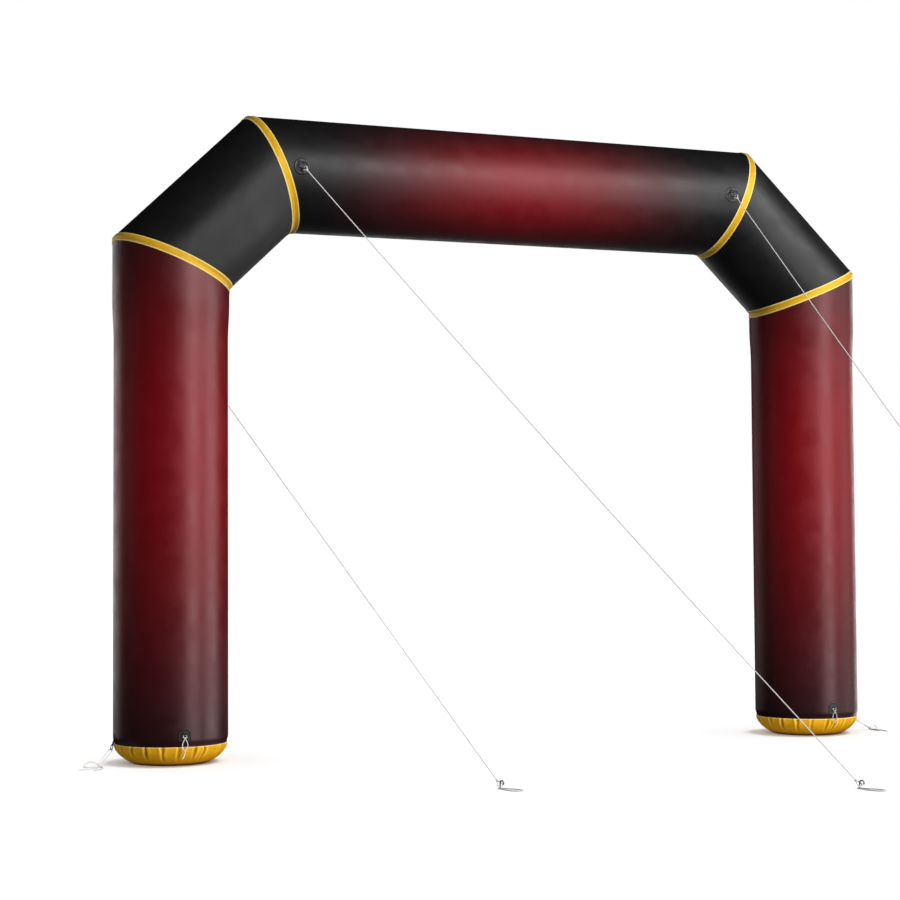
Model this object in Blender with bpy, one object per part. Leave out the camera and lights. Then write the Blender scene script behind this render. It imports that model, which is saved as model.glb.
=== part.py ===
"""Inflatable arch: filled cloth tubes, tape over the seams, foot caps, patches, rings and guy ropes.

Units are metres and +Z is up. The origin is on the ground midway between the two feet. The beam runs
along X, and the guy ropes come down on the -Y side, which is the front.
"""

import math

import bmesh
import bpy
from mathutils import Matrix, Vector

# Driving dimensions of the tubes.
LEG_RADIUS = 0.40
BEAM_RADIUS = 0.41
LEG_SPACING = 5.14
KNEE_HEIGHT = 3.50
BEAM_HEIGHT = 4.18
CORNER_INSET = 0.71  # from a leg's axis to the bend in the beam's axis
FLARE_START = 2.95
FLARE_END = 3.22
SEGMENTS = 48
GAP = 0.0003  # between pieces that touch

# Tape over the seams.
BAND_WIDTH = 0.065
BAND_THICKNESS = 0.002

# Foot caps.
SEAM_HEIGHT = 0.139
SEAM_RADIUS = 0.392
LEG_END_RADIUS = 0.390
SOLE_RADIUS = 0.262
CAP_ROWS = (0, 22, 42, 60, 76, 90)  # degrees up the rounded side
PLEAT_DEPTH = 0.009
PLEAT_RIDGE = 0.003
BACK_PLEATS = 16
# The pleats at the front of each cap, in degrees from +X.
FRONT_PLEATS = {-1: (-147, -130, -112, -95, -78, -67, -46), 1: (-167, -151, -132, -115, -97, -87, -75, -60)}

# Patches and rings.
PATCH_THICKNESS = 0.002
PATCH_RADIUS = 0.060
PATCH_POINTS = 20
KEEPER_WALL = 0.004
KEEPER_SHARE = 0.36  # half the keeper's length as a share of the ring's radius
KEEPER_CLEARANCE = 0.0015  # between a ring's wire and its patch
KEEPER_SHIFT = 0.030  # from a beam patch's middle up the line of its rope
WIRE_RADIUS = 0.004
RING_RADIUS = 0.030
BEAM_PATCH_OFFSET = 1.7275
LEG_PATCH_HEIGHT = 2.583
LEG_PATCH_ANGLE = 15  # degrees from +X, towards the back
FOOT_PATCH_HEIGHT = 0.222
FOOT_PATCH_RADIUS = 0.045
FOOT_PATCH_SKIRT = 0.050
FOOT_RING_RADIUS = 0.012
FOOT_WIRE_RADIUS = 0.003
FOOT_RING_PULL = (0, -0.36, -0.93)
SIDE_RING_RADIUS = 0.018
SIDE_WIRE_RADIUS = 0.003
SIDE_RING_PULL = (0.34, -0.16, -0.93)  # outward, along Y, up
SIDE_RING_TWIST = 35  # degrees

# The webbing tab at the side of each foot, as (out from the leg's cloth, height).
TAB_PROFILE = ((0, 0.212), (0, 0.160), (0.006, 0.138), (0.014, 0.138), (0.0028, 0.163), (0.0025, 0.212))
TAB_HALF_WIDTH = 0.011
TAB_HINGE = (0.0105, 0.136)
TAB_ROLL_WALL = 0.0035
TAB_ROLL_HALF_LENGTH = 0.0075

# Ropes. The three pegs stand where the ropes reach the ground.
ROPE_RADIUS = 0.004
LOOP_RADIUS = 0.003
CORD_SIDES = 6
GUY_POINTS = 26
BEAM_GUY_SAG = 0.032
LEG_GUY_SAG = 0.003
TOP_EYE = (0.030, 45)  # an eye's length, and how many degrees it leans about its rope
PEG_EYE = (0.045, 35)
EYE_BEND = 1.25  # an eye's bend, as a share of its closest fit round the wire
PEG_EYE_REACH = 1.2  # how far that eye goes past the peg, on the level, as a share of the same
KNOT_LENGTH = 0.012
KNOT_RADIUS = 0.0095
KNOT_BITE = 0.002  # from an eye's throat to the middle of its knot
PEG_A = (0.9438, -3.2576)
PEG_B = (3.180, -3.240)
PEG_C = (-1.0652, -2.3599)
PEG_RADIUS = 0.005
PEG_BEND_HEIGHT = 0.038
PEG_BEND_RADIUS = 0.014
PEG_EYE_HEIGHT = 0.027
PEG_LOOP_LENGTH = 0.190
PEG_LOOP_HALF_WIDTH = 0.038
PEG_LOOP_TURN = -67  # degrees from +X
# One side of that loop, as shares of its length and of its half width.
PEG_LOOP_SIDE = ((0.010, 0.22), (0.055, 0.34), (0.28, 0.66), (0.58, 0.95), (0.82, 0.92), (0.97, 0.55))
FOOT_KNOT_DROP = (0, -0.002, -0.0865)  # from the foot ring's low point
FOOT_KNOT_SIZE = (0.0075, 0.006, 0.0065)
FOOT_TAIL_START = (0, 0, -0.0068)  # from that knot
TIE_KNOT_SIZE = (0.013, 0.012, 0.0103)
TIE_KNOT_REST = 0.0002  # between the knot and the ground
TIE_START = 0.0105  # from the knot's centre to the end of each cord in it
TIE_MOUTH = 0.006
TIE_LEAD = 0.012
BIGHT_DROP = 0.024  # from the side ring to where the doubled rope has opened
BIGHT_HALF_GAP = 0.011
BIGHT_SLACK = 0.0030
BIGHT_SEAT = 0.0004

X_AXIS = Vector((1, 0, 0))
Y_AXIS = Vector((0, 1, 0))
Z_AXIS = Vector((0, 0, 1))
FRONT = -Y_AXIS
LEFT, RIGHT = -1, 1
HALF_SPACING = LEG_SPACING / 2

for existing in list(bpy.data.objects):
    bpy.data.objects.remove(existing, do_unlink=True)

arch = bpy.data.objects.new("arch", None)
bpy.context.scene.collection.objects.link(arch)


def material(name, colour, roughness, metallic=0.0):
    made = bpy.data.materials.new(name)
    made.use_nodes = True
    shader = made.node_tree.nodes["Principled BSDF"]
    shader.inputs["Base Color"].default_value = (*colour, 1.0)
    shader.inputs["Roughness"].default_value = roughness
    shader.inputs["Metallic"].default_value = metallic
    made.diffuse_color = (*colour, 1.0)
    return made


RED_CLOTH = material("red_black_cloth", (0.070, 0.004, 0.006), 0.45)
BLACK_CLOTH = material("black_cloth", (0.016, 0.016, 0.018), 0.45)
GOLD_CLOTH = material("golden_cloth", (0.74, 0.42, 0.05), 0.42)
PATCH_CLOTH = material("black_patch", (0.012, 0.012, 0.014), 0.50)
WEBBING = material("black_webbing", (0.010, 0.010, 0.012), 0.75)
DARK_STEEL = material("dark_steel", (0.10, 0.11, 0.13), 0.35, 1.0)
PALE_STEEL = material("pale_steel", (0.60, 0.60, 0.58), 0.35, 1.0)
WHITE_ROPE = material("white_rope", (0.80, 0.80, 0.78), 0.80)


# ---- building blocks ----


def add_object(name, data, finish, origin=(0, 0, 0)):
    """Links a mesh or a curve made in world space as an object whose origin is at a given point."""
    origin = Vector(origin)
    data.transform(Matrix.Translation(-origin))
    data.materials.append(finish)
    placed = bpy.data.objects.new(name, data)
    placed.location = origin
    placed.parent = arch
    bpy.context.scene.collection.objects.link(placed)
    return placed


def add_solid(name, shape, finish, origin=(0, 0, 0)):
    """Turns a bmesh into a smooth shaded object with its faces pointing out."""
    bmesh.ops.recalc_face_normals(shape, faces=shape.faces)
    mesh = bpy.data.meshes.new(name)
    shape.to_mesh(mesh)
    shape.free()
    mesh.shade_smooth()
    mesh.set_sharp_from_angle(angle=math.radians(40))
    return add_object(name, mesh, finish, origin)


def add_guide(name, shape):
    """A solid that only joins or cuts others."""
    guide = add_solid(name, shape, WEBBING)
    guide.hide_render = True
    guide.display_type = "WIRE"
    return guide


def combine(target, guide, operation):
    step = target.modifiers.new(guide.name, "BOOLEAN")
    step.operation = operation
    step.solver = "EXACT"
    step.object = guide


def loft(rings, closed=False):
    """Quads between rings of equal count, with flat ends, or closed into a hoop."""
    shape = bmesh.new()
    rows = [[shape.verts.new(point) for point in ring] for ring in rings]
    pairs = list(zip(rows, rows[1:]))
    if closed:
        pairs.append((rows[-1], rows[0]))
    for low, high in pairs:
        for i in range(len(low)):
            j = (i + 1) % len(low)
            shape.faces.new((low[i], low[j], high[j], high[i]))
    if not closed:
        shape.faces.new(rows[0][::-1])
        shape.faces.new(rows[-1])
    return shape


def hoop(points, normal, radius, sides):
    """A round wire bent into a closed flat loop through the points."""
    sections = []
    for i, point in enumerate(points):
        along = (points[(i + 1) % len(points)] - points[i - 1]).normalized()
        outward = normal.cross(along)
        turn = [2 * math.pi * k / sides for k in range(sides)]
        sections.append([point + radius * (math.cos(a) * outward + math.sin(a) * normal) for a in turn])
    return loft(sections, closed=True)


def ball(placing, size):
    """A ball with a radius of its own along each axis."""
    shape = bmesh.new()
    shaping = placing @ Matrix.Diagonal((*size, 1.0))
    bmesh.ops.create_icosphere(shape, subdivisions=2, radius=1.0, matrix=shaping)
    return shape


def round_points(centre, first, second, radius, count):
    turn = [2 * math.pi * k / count for k in range(count)]
    return [centre + radius * (math.cos(a) * first + math.sin(a) * second) for a in turn]


def smooth_route(route, count):
    """Points along a smooth curve through the route's own points, as many between each pair."""
    route = [Vector(point) for point in route]
    spans = [math.sqrt((high - low).length) for low, high in zip(route, route[1:])]
    slopes = [(high - low) / span for low, high, span in zip(route, route[1:], spans)]
    tangents = [slopes[0]]
    for before, after, span_before, span_after in zip(slopes, slopes[1:], spans, spans[1:]):
        tangents.append((before * span_after + after * span_before) / (span_before + span_after))
    tangents.append(slopes[-1])
    points = []
    for step in range(count):
        place = step / (count - 1) * len(spans)
        i = min(int(place), len(spans) - 1)
        t = place - i
        rise = t * t * (3 - 2 * t)
        leaving = spans[i] * t * (1 - t) ** 2 * tangents[i]
        arriving = spans[i] * t * t * (1 - t) * tangents[i + 1]
        points.append(route[i].lerp(route[i + 1], rise) + leaving - arriving)
    return points


def add_cord(name, points, radius, finish=WHITE_ROPE):
    curve = bpy.data.curves.new(name, "CURVE")
    curve.dimensions = "3D"
    curve.bevel_depth = radius
    curve.bevel_resolution = 2
    curve.use_fill_caps = True
    curve.resolution_u = 1
    curve.render_resolution_u = 0
    spline = curve.splines.new("POLY")
    spline.points.add(len(points) - 1)
    for place, point in zip(spline.points, points):
        place.co = (*point, 1.0)
    return add_object(name, curve, finish, points[0])


# ---- tubes ----


def knee(side):
    return Vector((side * HALF_SPACING, 0, KNEE_HEIGHT))


def corner(side):
    return Vector((side * (HALF_SPACING - CORNER_INSET), 0, BEAM_HEIGHT))


def slant(side):
    return (corner(side) - knee(side)).normalized()


def inward(side):
    return -side * X_AXIS


def seam_ring(point, before, after, radius):
    """The tube's section on the mitre plane between two directions, or square across for one."""
    middle = (before + after).normalized()
    across = middle.cross(Y_AXIS)
    stretch = radius / before.dot(middle)
    turn = [2 * math.pi * k / SEGMENTS for k in range(SEGMENTS)]
    return [point + stretch * math.cos(a) * across + radius * math.sin(a) * Y_AXIS for a in turn]


def half_gap(before, after):
    """How far along the tube a panel stops short of its seam."""
    return GAP / 2 / before.dot((before + after).normalized())


def add_leg(name, side):
    foot = Vector((side * HALF_SPACING, 0, 0))
    rows = (
        (SEAM_HEIGHT + GAP / 2, LEG_END_RADIUS),
        (SEAM_HEIGHT + 0.016, (LEG_END_RADIUS + LEG_RADIUS) / 2),
        (SEAM_HEIGHT + 0.045, LEG_RADIUS),
        (FLARE_START, LEG_RADIUS),
        (FLARE_END, BEAM_RADIUS),
    )
    rings = [seam_ring(foot + height * Z_AXIS, Z_AXIS, Z_AXIS, radius) for height, radius in rows]
    top = knee(side) - half_gap(Z_AXIS, slant(side)) * Z_AXIS
    rings.append(seam_ring(top, Z_AXIS, slant(side), BEAM_RADIUS))
    add_solid(name, loft(rings), RED_CLOTH, foot)


def add_shoulder(name, side):
    low = knee(side) + half_gap(Z_AXIS, slant(side)) * slant(side)
    high = corner(side) - half_gap(slant(side), inward(side)) * slant(side)
    rings = [
        seam_ring(low, Z_AXIS, slant(side), BEAM_RADIUS),
        seam_ring(high, slant(side), inward(side), BEAM_RADIUS),
    ]
    add_solid(name, loft(rings), BLACK_CLOTH, knee(side))


def add_beam():
    end_gap = half_gap(slant(LEFT), X_AXIS)
    rings = [
        seam_ring(corner(LEFT) + end_gap * X_AXIS, slant(LEFT), X_AXIS, BEAM_RADIUS),
        seam_ring(corner(RIGHT) - end_gap * X_AXIS, X_AXIS, -slant(RIGHT), BEAM_RADIUS),
    ]
    add_solid("beam", loft(rings), RED_CLOTH, (0, 0, BEAM_HEIGHT))


def add_band(name, point, before, after):
    """Tape that runs round the tube over a mitred seam, half of it on each panel."""
    inner = seam_ring(point, before, after, BEAM_RADIUS + GAP)
    outer = seam_ring(point, before, after, BEAM_RADIUS + GAP + BAND_THICKNESS)
    half = BAND_WIDTH / 2
    sections = [
        (a - half * before, a, a + half * after, b + half * after, b, b - half * before)
        for a, b in zip(inner, outer)
    ]
    add_solid(name, loft(sections, closed=True), GOLD_CLOTH, point)


# ---- foot caps ----


def pleat_layout(side):
    """The angle round the cap and the height of the pleat there: a crease, a ridge, a flat, a ridge."""
    front = [math.radians(angle) for angle in FRONT_PLEATS[side]]
    widths = [1 + 0.28 * math.sin(2.4 * i) + 0.14 * math.sin(5.3 * i + 1) for i in range(BACK_PLEATS + 1)]
    rest = 2 * math.pi - (front[-1] - front[0])
    creases = list(front)
    for width in widths:
        creases.append(creases[-1] + rest * width / sum(widths))
    layout = []
    for i, (crease, following) in enumerate(zip(creases, creases[1:])):
        depth = PLEAT_DEPTH * (0.75 + 0.25 * math.sin(1.7 * i))
        for share, height in ((0.0, -depth), (0.22, PLEAT_RIDGE), (0.5, 0.0), (0.78, PLEAT_RIDGE)):
            layout.append((crease + share * (following - crease), height))
    return layout


def add_foot_cap(name, side):
    """A shallow bowl, flat below, whose cloth is gathered into the seam at its rim."""
    foot = Vector((side * HALF_SPACING, 0, 0))
    rings = []
    for row in CAP_ROWS:
        angle = math.radians(row)
        radius = SOLE_RADIUS + (SEAM_RADIUS - SOLE_RADIUS) * math.sin(angle) ** 1.8
        height = (SEAM_HEIGHT - GAP / 2) * (1 - math.cos(angle))
        gather = min(1.0, max(0.0, (row - 25) / 45))
        rings.append(
            [
                foot + height * Z_AXIS + (radius + gather * pleat) * Vector((math.cos(a), math.sin(a), 0))
                for a, pleat in pleat_layout(side)
            ]
        )
    add_solid(name, loft(rings), GOLD_CLOTH, foot)


# ---- patches and the rings in their keepers ----


def disc_outline():
    turn = [2 * math.pi * k / PATCH_POINTS for k in range(PATCH_POINTS)]
    return [(PATCH_RADIUS * math.cos(a), PATCH_RADIUS * math.sin(a)) for a in turn]


def arched_outline():
    """A half circle above a short straight skirt, as (along the tube, round the tube)."""
    half_circle = [math.radians(angle) for angle in range(-90, 91, 18)]
    top = [(FOOT_PATCH_RADIUS * math.cos(a), FOOT_PATCH_RADIUS * math.sin(a)) for a in half_circle]
    foot = [(-FOOT_PATCH_SKIRT, FOOT_PATCH_RADIUS * share) for share in (1, 0.5, 0, -0.5, -1)]
    return top + foot


def patch_shape(centre, axis, facing, tube_radius, outline):
    """A thin sheet that follows the tube, with its outline laid on the tube's surface."""
    tangent = axis.cross(facing)

    def on_tube(along, around, height):
        angle = around / tube_radius
        radial = math.cos(angle) * facing + math.sin(angle) * tangent
        return centre + along * axis + (tube_radius + height) * radial

    shape = bmesh.new()
    rims = []
    for height in (GAP, GAP + PATCH_THICKNESS):
        rows = [[shape.verts.new(on_tube(s * a, s * b, height)) for a, b in outline] for s in (0.5, 1.0)]
        middle = shape.verts.new(on_tube(0, 0, height))
        for i in range(len(outline)):
            j = (i + 1) % len(outline)
            shape.faces.new((middle, rows[0][i], rows[0][j]))
            shape.faces.new((rows[0][i], rows[1][i], rows[1][j], rows[0][j]))
        rims.append(rows[1])
    for i in range(len(outline)):
        j = (i + 1) % len(outline)
        shape.faces.new((rims[0][i], rims[0][j], rims[1][j], rims[1][i]))
    return shape


def keeper_shape(seat, normal, across, height, radius, half_length):
    """A half-round rib on the patch, through which the ring passes."""
    sideways = normal.cross(across)
    arc = [math.radians(angle) for angle in range(0, 181, 30)]
    outline = [(radius * math.cos(a), height + radius * math.sin(a)) for a in arc]
    outline += [(-radius, -PATCH_THICKNESS / 2), (radius, -PATCH_THICKNESS / 2)]
    ends = []
    for end in (-half_length, half_length):
        ends.append([seat + end * across + x * sideways + y * normal for x, y in outline])
    return loft(ends)


def add_kept_ring(ring_name, patch_object, hinge, pull, across, radius, wire, finish):
    """A wire ring that hangs from its hinge point, and the tunnel for it in its patch or tab."""
    pull, across = pull.normalized(), across.normalized()
    normal = pull.cross(across)
    centre = hinge + radius * pull
    path = round_points(centre, pull, across, radius, 16)
    add_solid(ring_name, hoop(path, normal, wire, 6), finish, centre)
    tunnel = add_guide(ring_name + "_tunnel", hoop(path, normal, wire + GAP, 6))
    combine(patch_object, tunnel, "DIFFERENCE")
    return centre + radius * pull


def add_ring_patch(prefix, tube, outline, pull, ring, finishes, shift=0.0):
    """A patch, its keeper and its ring, for a tube given as a point on its axis, that axis, the way
    that the patch faces and the radius. Gives the ring's far point and the way across it."""
    centre, axis, facing, tube_radius = tube
    ring_radius, wire = ring
    sheet = patch_shape(centre, axis, facing, tube_radius, outline)
    patch_object = add_solid(prefix + "_patch", sheet, finishes[0], centre + tube_radius * facing)
    pull = pull.normalized()
    back = shift * (pull.dot(facing) * facing - pull).normalized()
    tangent = axis.cross(facing)
    turn = back.dot(tangent) / tube_radius
    up = math.cos(turn) * facing + math.sin(turn) * tangent
    across = up.cross(pull).normalized()
    surface = centre + back.dot(axis) * axis + (tube_radius + GAP + PATCH_THICKNESS) * up
    height = wire + KEEPER_CLEARANCE
    rib = keeper_shape(surface, up, across, height, wire + KEEPER_WALL, ring_radius * KEEPER_SHARE)
    combine(patch_object, add_guide(prefix + "_rib", rib), "UNION")
    hinge = surface + height * up
    far = add_kept_ring(prefix + "_ring", patch_object, hinge, pull, across, ring_radius, wire, finishes[1])
    return far, across


# ---- guy ropes, their knots and their pegs ----


def add_eye(name, wire_point, along, across, shape, wire, reach):
    """A rope eye round a wire, closed by a knot. Gives the point where the rope leaves the knot."""
    length, lean = shape[0], math.radians(shape[1])
    along = along.normalized()
    across = (across - across.dot(along) * along).normalized()
    flat = math.cos(lean) * along.cross(across) + math.sin(lean) * across
    normal = along.cross(flat)
    clear = wire + ROPE_RADIUS + GAP
    far = wire_point - clear * reach * along
    bend = clear * EYE_BEND
    half_width = bend / math.cos(lean)
    curved = [math.radians(angle) for angle in (0, 30, 60, 90)]
    outline = [(bend * (1 - math.cos(a)), math.sin(a)) for a in curved]
    outline += [(share * length, width) for share, width in ((0.62, 0.82), (0.86, 0.48), (1.0, 0.38))]
    sides = [far + s * along + q * half_width * flat for s, q in outline]
    back = [far + s * along - q * half_width * flat for s, q in outline[:0:-1]]
    eye = add_solid(name, hoop(sides + back, normal, ROPE_RADIUS, CORD_SIDES), WHITE_ROPE, far)
    knot_centre = far + (length + KNOT_BITE) * along
    turn = along.to_track_quat("Z", "Y").to_matrix().to_4x4()
    knot = ball(Matrix.Translation(knot_centre) @ turn, (KNOT_RADIUS, KNOT_RADIUS, KNOT_LENGTH))
    combine(eye, add_guide(name + "_knot", knot), "UNION")
    return knot_centre + (KNOT_LENGTH + GAP) * along


def peg_top(place):
    return Vector((*place, PEG_EYE_HEIGHT))


def add_peg(name, place, away):
    """The part of a hooked steel peg that stands above the ground."""
    base = Vector((*place, 0))
    bend = base + PEG_BEND_HEIGHT * Z_AXIS + PEG_BEND_RADIUS * away
    hook = [math.radians(angle) for angle in range(180, -31, -30)]
    arc = [bend + PEG_BEND_RADIUS * (math.cos(a) * away + math.sin(a) * Z_AXIS) for a in hook]
    add_cord(name, [base, base + 0.5 * PEG_BEND_HEIGHT * Z_AXIS, *arc], PEG_RADIUS, DARK_STEEL)


def add_peg_loop(name, place):
    """A rope loop round the peg's foot that lies on the ground."""
    turn = math.radians(PEG_LOOP_TURN)
    away = Vector((math.cos(turn), math.sin(turn), 0))
    sideways = Z_AXIS.cross(away)
    near = Vector((*place, ROPE_RADIUS)) - (PEG_RADIUS + ROPE_RADIUS + GAP) * away
    middles = [near + share * PEG_LOOP_LENGTH * away for share, _ in PEG_LOOP_SIDE]
    asides = [width * PEG_LOOP_HALF_WIDTH * sideways for _, width in PEG_LOOP_SIDE]
    one = [middle + aside for middle, aside in zip(middles, asides)]
    other = [middle - aside for middle, aside in zip(middles, asides)][::-1]
    tip = near + PEG_LOOP_LENGTH * away
    add_solid(name, hoop([near, *one, tip, *other], Z_AXIS, ROPE_RADIUS, CORD_SIDES), WHITE_ROPE, near)


def add_guy(letter, ring_point, ring_across, place, sag):
    """A taut rope from a ring's far point to a peg, with its eyes, the peg and the loop on it."""
    peg_point = peg_top(place)
    along = (peg_point - ring_point).normalized()
    away = Vector((along.x, along.y, 0)).normalized()
    start = add_eye(f"guy_{letter}_top_eye", ring_point, along, ring_across, TOP_EYE, WIRE_RADIUS, 1.0)
    slope_reach = PEG_EYE_REACH / math.hypot(along.x, along.y)
    end = add_eye(f"guy_{letter}_peg_eye", peg_point, -along, Z_AXIS, PEG_EYE, PEG_RADIUS, slope_reach)
    steps = [k / (GUY_POINTS - 1) for k in range(GUY_POINTS)]
    add_cord(
        f"guy_{letter}_rope",
        [start.lerp(end, t) - 4 * sag * t * (1 - t) * Z_AXIS for t in steps],
        ROPE_RADIUS,
    )
    add_peg(f"guy_{letter}_peg", place, away)
    add_peg_loop(f"guy_{letter}_peg_loop", place)


# ---- feet: hanging loops, side tabs and tie ropes ----


def add_foot_loop(side_name, ring_low, tail):
    """A thin cord loop through the small ring, its knot below and, on one foot, a short tail."""
    clear = FOOT_WIRE_RADIUS + LOOP_RADIUS + GAP
    route = (
        (0.0035, -0.002, -0.0795),
        (0.016, -0.001, -0.066),
        (0.018, 0.000, -0.038),
        (0.009, 0.004, -0.014),
        (0.003, clear + 0.0016, 0.000),
        (0.000, 0.000, clear + 0.0005),
        (-0.003, -clear - 0.0016, 0.000),
        (-0.009, -0.005, -0.014),
        (-0.018, -0.002, -0.038),
        (-0.016, -0.002, -0.066),
        (-0.0035, -0.002, -0.0795),
    )
    points = smooth_route([ring_low + Vector(step) for step in route], 25)
    add_cord(f"foot_loop_{side_name}", points, LOOP_RADIUS)
    knot_centre = ring_low + Vector(FOOT_KNOT_DROP)
    knot = ball(Matrix.Translation(knot_centre), FOOT_KNOT_SIZE)
    add_solid(f"foot_knot_{side_name}", knot, WHITE_ROPE, knot_centre)
    if tail:
        start = knot_centre + Vector(FOOT_TAIL_START)
        steps = [(0, 0, 0), (-0.004, -0.001, -0.018), (-0.011, -0.002, -0.034), (-0.023, -0.003, -0.046)]
        tail_points = smooth_route([start + Vector(step) for step in steps], 10)
        add_cord(f"foot_tail_{side_name}", tail_points, LOOP_RADIUS)


def add_side_tab(side, side_name):
    """A webbing tongue on the outer line of the leg with a ring in its rolled end."""
    outward = side * X_AXIS
    cloth = Vector((side * HALF_SPACING, 0, 0)) + (LEG_RADIUS + GAP) * outward
    ends = [
        [cloth + out * outward + y * Y_AXIS + height * Z_AXIS for out, height in TAB_PROFILE]
        for y in (-TAB_HALF_WIDTH, TAB_HALF_WIDTH)
    ]
    tab = add_solid(f"side_tab_{side_name}", loft(ends), WEBBING, cloth)
    hinge = cloth + TAB_HINGE[0] * outward + TAB_HINGE[1] * Z_AXIS
    pull = Vector((side * SIDE_RING_PULL[0], *SIDE_RING_PULL[1:])).normalized()
    twist = Matrix.Rotation(math.radians(-SIDE_RING_TWIST * side), 3, pull)
    across = twist @ (Y_AXIS - Y_AXIS.dot(pull) * pull).normalized()
    sideways = pull.cross(across)
    ends = [
        round_points(hinge + s * across, pull, sideways, SIDE_WIRE_RADIUS + TAB_ROLL_WALL, 12)
        for s in (-TAB_ROLL_HALF_LENGTH, TAB_ROLL_HALF_LENGTH)
    ]
    combine(tab, add_guide(f"side_tab_{side_name}_roll", loft(ends)), "UNION")
    far = add_kept_ring(
        f"side_ring_{side_name}", tab, hinge, pull, across, SIDE_RING_RADIUS, SIDE_WIRE_RADIUS, DARK_STEEL
    )
    return far, pull, sideways


def exit_way(side, azimuth, elevation):
    """A direction out of a knot, by its angle from straight outward and its angle above level."""
    azimuth, elevation = math.radians(azimuth), math.radians(elevation)
    level = math.cos(elevation)
    return Vector((side * level * math.cos(azimuth), level * math.sin(azimuth), math.sin(elevation)))


def add_tie(side, side_name, ring_point, pull, normal, knot_place, strands, loop, ends):
    """A rope doubled through the side ring and knotted on the ground, with a loop and two free ends.

    Places are (outward from the leg's axis, along Y, height), and ways out of the knot are
    (azimuth, elevation) in degrees.
    """
    foot = Vector((side * HALF_SPACING, 0, 0))
    knot_centre = foot + Vector((side * knot_place[0], knot_place[1], TIE_KNOT_SIZE[2] + TIE_KNOT_REST))
    knot = ball(Matrix.Translation(knot_centre), TIE_KNOT_SIZE)
    knot_object = add_solid(f"tie_{side_name}_knot", knot, WHITE_ROPE, knot_centre)

    def leave_knot(label, angles):
        """The two first points of a cord, and the socket in the knot that holds its end."""
        way = exit_way(side, *angles)
        upright = way.cross(Z_AXIS).normalized()
        start = knot_centre + TIE_START * way
        across = way.cross(upright)
        mouths = [start - 3 * GAP * way, start + TIE_MOUTH * way]
        rings = [round_points(mouth, upright, across, ROPE_RADIUS + 2 * GAP, 12) for mouth in mouths]
        combine(knot_object, add_guide(f"tie_{side_name}_socket_{label}", loft(rings)), "DIFFERENCE")
        return [start, start + TIE_LEAD * way]

    def placed(route):
        return [foot + Vector((side * step[0], step[1], step[2])) for step in route]

    clear = SIDE_WIRE_RADIUS + ROPE_RADIUS + GAP
    back = (knot_centre - ring_point).normalized()
    first, second = (leave_knot(f"strand_{k}", angles) for k, angles in enumerate(strands))
    if (first[0] - second[0]).dot(normal) < 0:
        normal = -normal
    bight = [
        *first,
        ring_point + BIGHT_DROP * back + BIGHT_HALF_GAP * normal,
        ring_point + (clear + BIGHT_SLACK) * normal,
        ring_point - (clear + BIGHT_SEAT) * pull,
        ring_point - (clear + BIGHT_SLACK) * normal,
        ring_point + BIGHT_DROP * back - BIGHT_HALF_GAP * normal,
        *second[::-1],
    ]
    add_cord(f"tie_{side_name}_bight", smooth_route(bight, 25), ROPE_RADIUS)
    loop_start, loop_route, loop_end = loop
    loop_back = leave_knot("loop_end", loop_end)[::-1]
    loop_points = [*leave_knot("loop", loop_start), *placed(loop_route), *loop_back]
    add_cord(f"tie_{side_name}_loop", smooth_route(loop_points, 19), ROPE_RADIUS)
    for letter, (angles, route) in zip("ab", ends):
        points = smooth_route([*leave_knot(f"end_{letter}", angles), *placed(route)], 9)
        add_cord(f"tie_{side_name}_end_{letter}", points, ROPE_RADIUS)


# ---- assembly ----

add_leg("leg_left", LEFT)
add_leg("leg_right", RIGHT)
add_shoulder("shoulder_left", LEFT)
add_shoulder("shoulder_right", RIGHT)
add_beam()
for side, side_name in ((LEFT, "left"), (RIGHT, "right")):
    add_band(f"knee_band_{side_name}", knee(side), Z_AXIS, slant(side))
    add_band(f"corner_band_{side_name}", corner(side), slant(side), inward(side))
    add_foot_cap(f"foot_cap_{side_name}", side)

guy_ring = (RING_RADIUS, WIRE_RADIUS)
for side, side_name, letter, place in ((LEFT, "left", "a", PEG_A), (RIGHT, "right", "b", PEG_B)):
    tube = (Vector((side * BEAM_PATCH_OFFSET, 0, BEAM_HEIGHT)), X_AXIS, FRONT, BEAM_RADIUS)
    pull = peg_top(place) - (tube[0] + BEAM_RADIUS * FRONT)
    finishes = (PATCH_CLOTH, DARK_STEEL)
    far, across = add_ring_patch(
        f"beam_{side_name}", tube, disc_outline(), pull, guy_ring, finishes, shift=KEEPER_SHIFT
    )
    add_guy(letter, far, across, place, BEAM_GUY_SAG)

leg_turn = math.radians(LEG_PATCH_ANGLE)
inner_side = Vector((math.cos(leg_turn), math.sin(leg_turn), 0))
tube = (Vector((-HALF_SPACING, 0, LEG_PATCH_HEIGHT)), Z_AXIS, inner_side, LEG_RADIUS)
pull = peg_top(PEG_C) - (tube[0] + LEG_RADIUS * inner_side)
far, across = add_ring_patch("leg", tube, disc_outline(), pull, guy_ring, (PATCH_CLOTH, DARK_STEEL))
add_guy("c", far, across, PEG_C, LEG_GUY_SAG)

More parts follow.
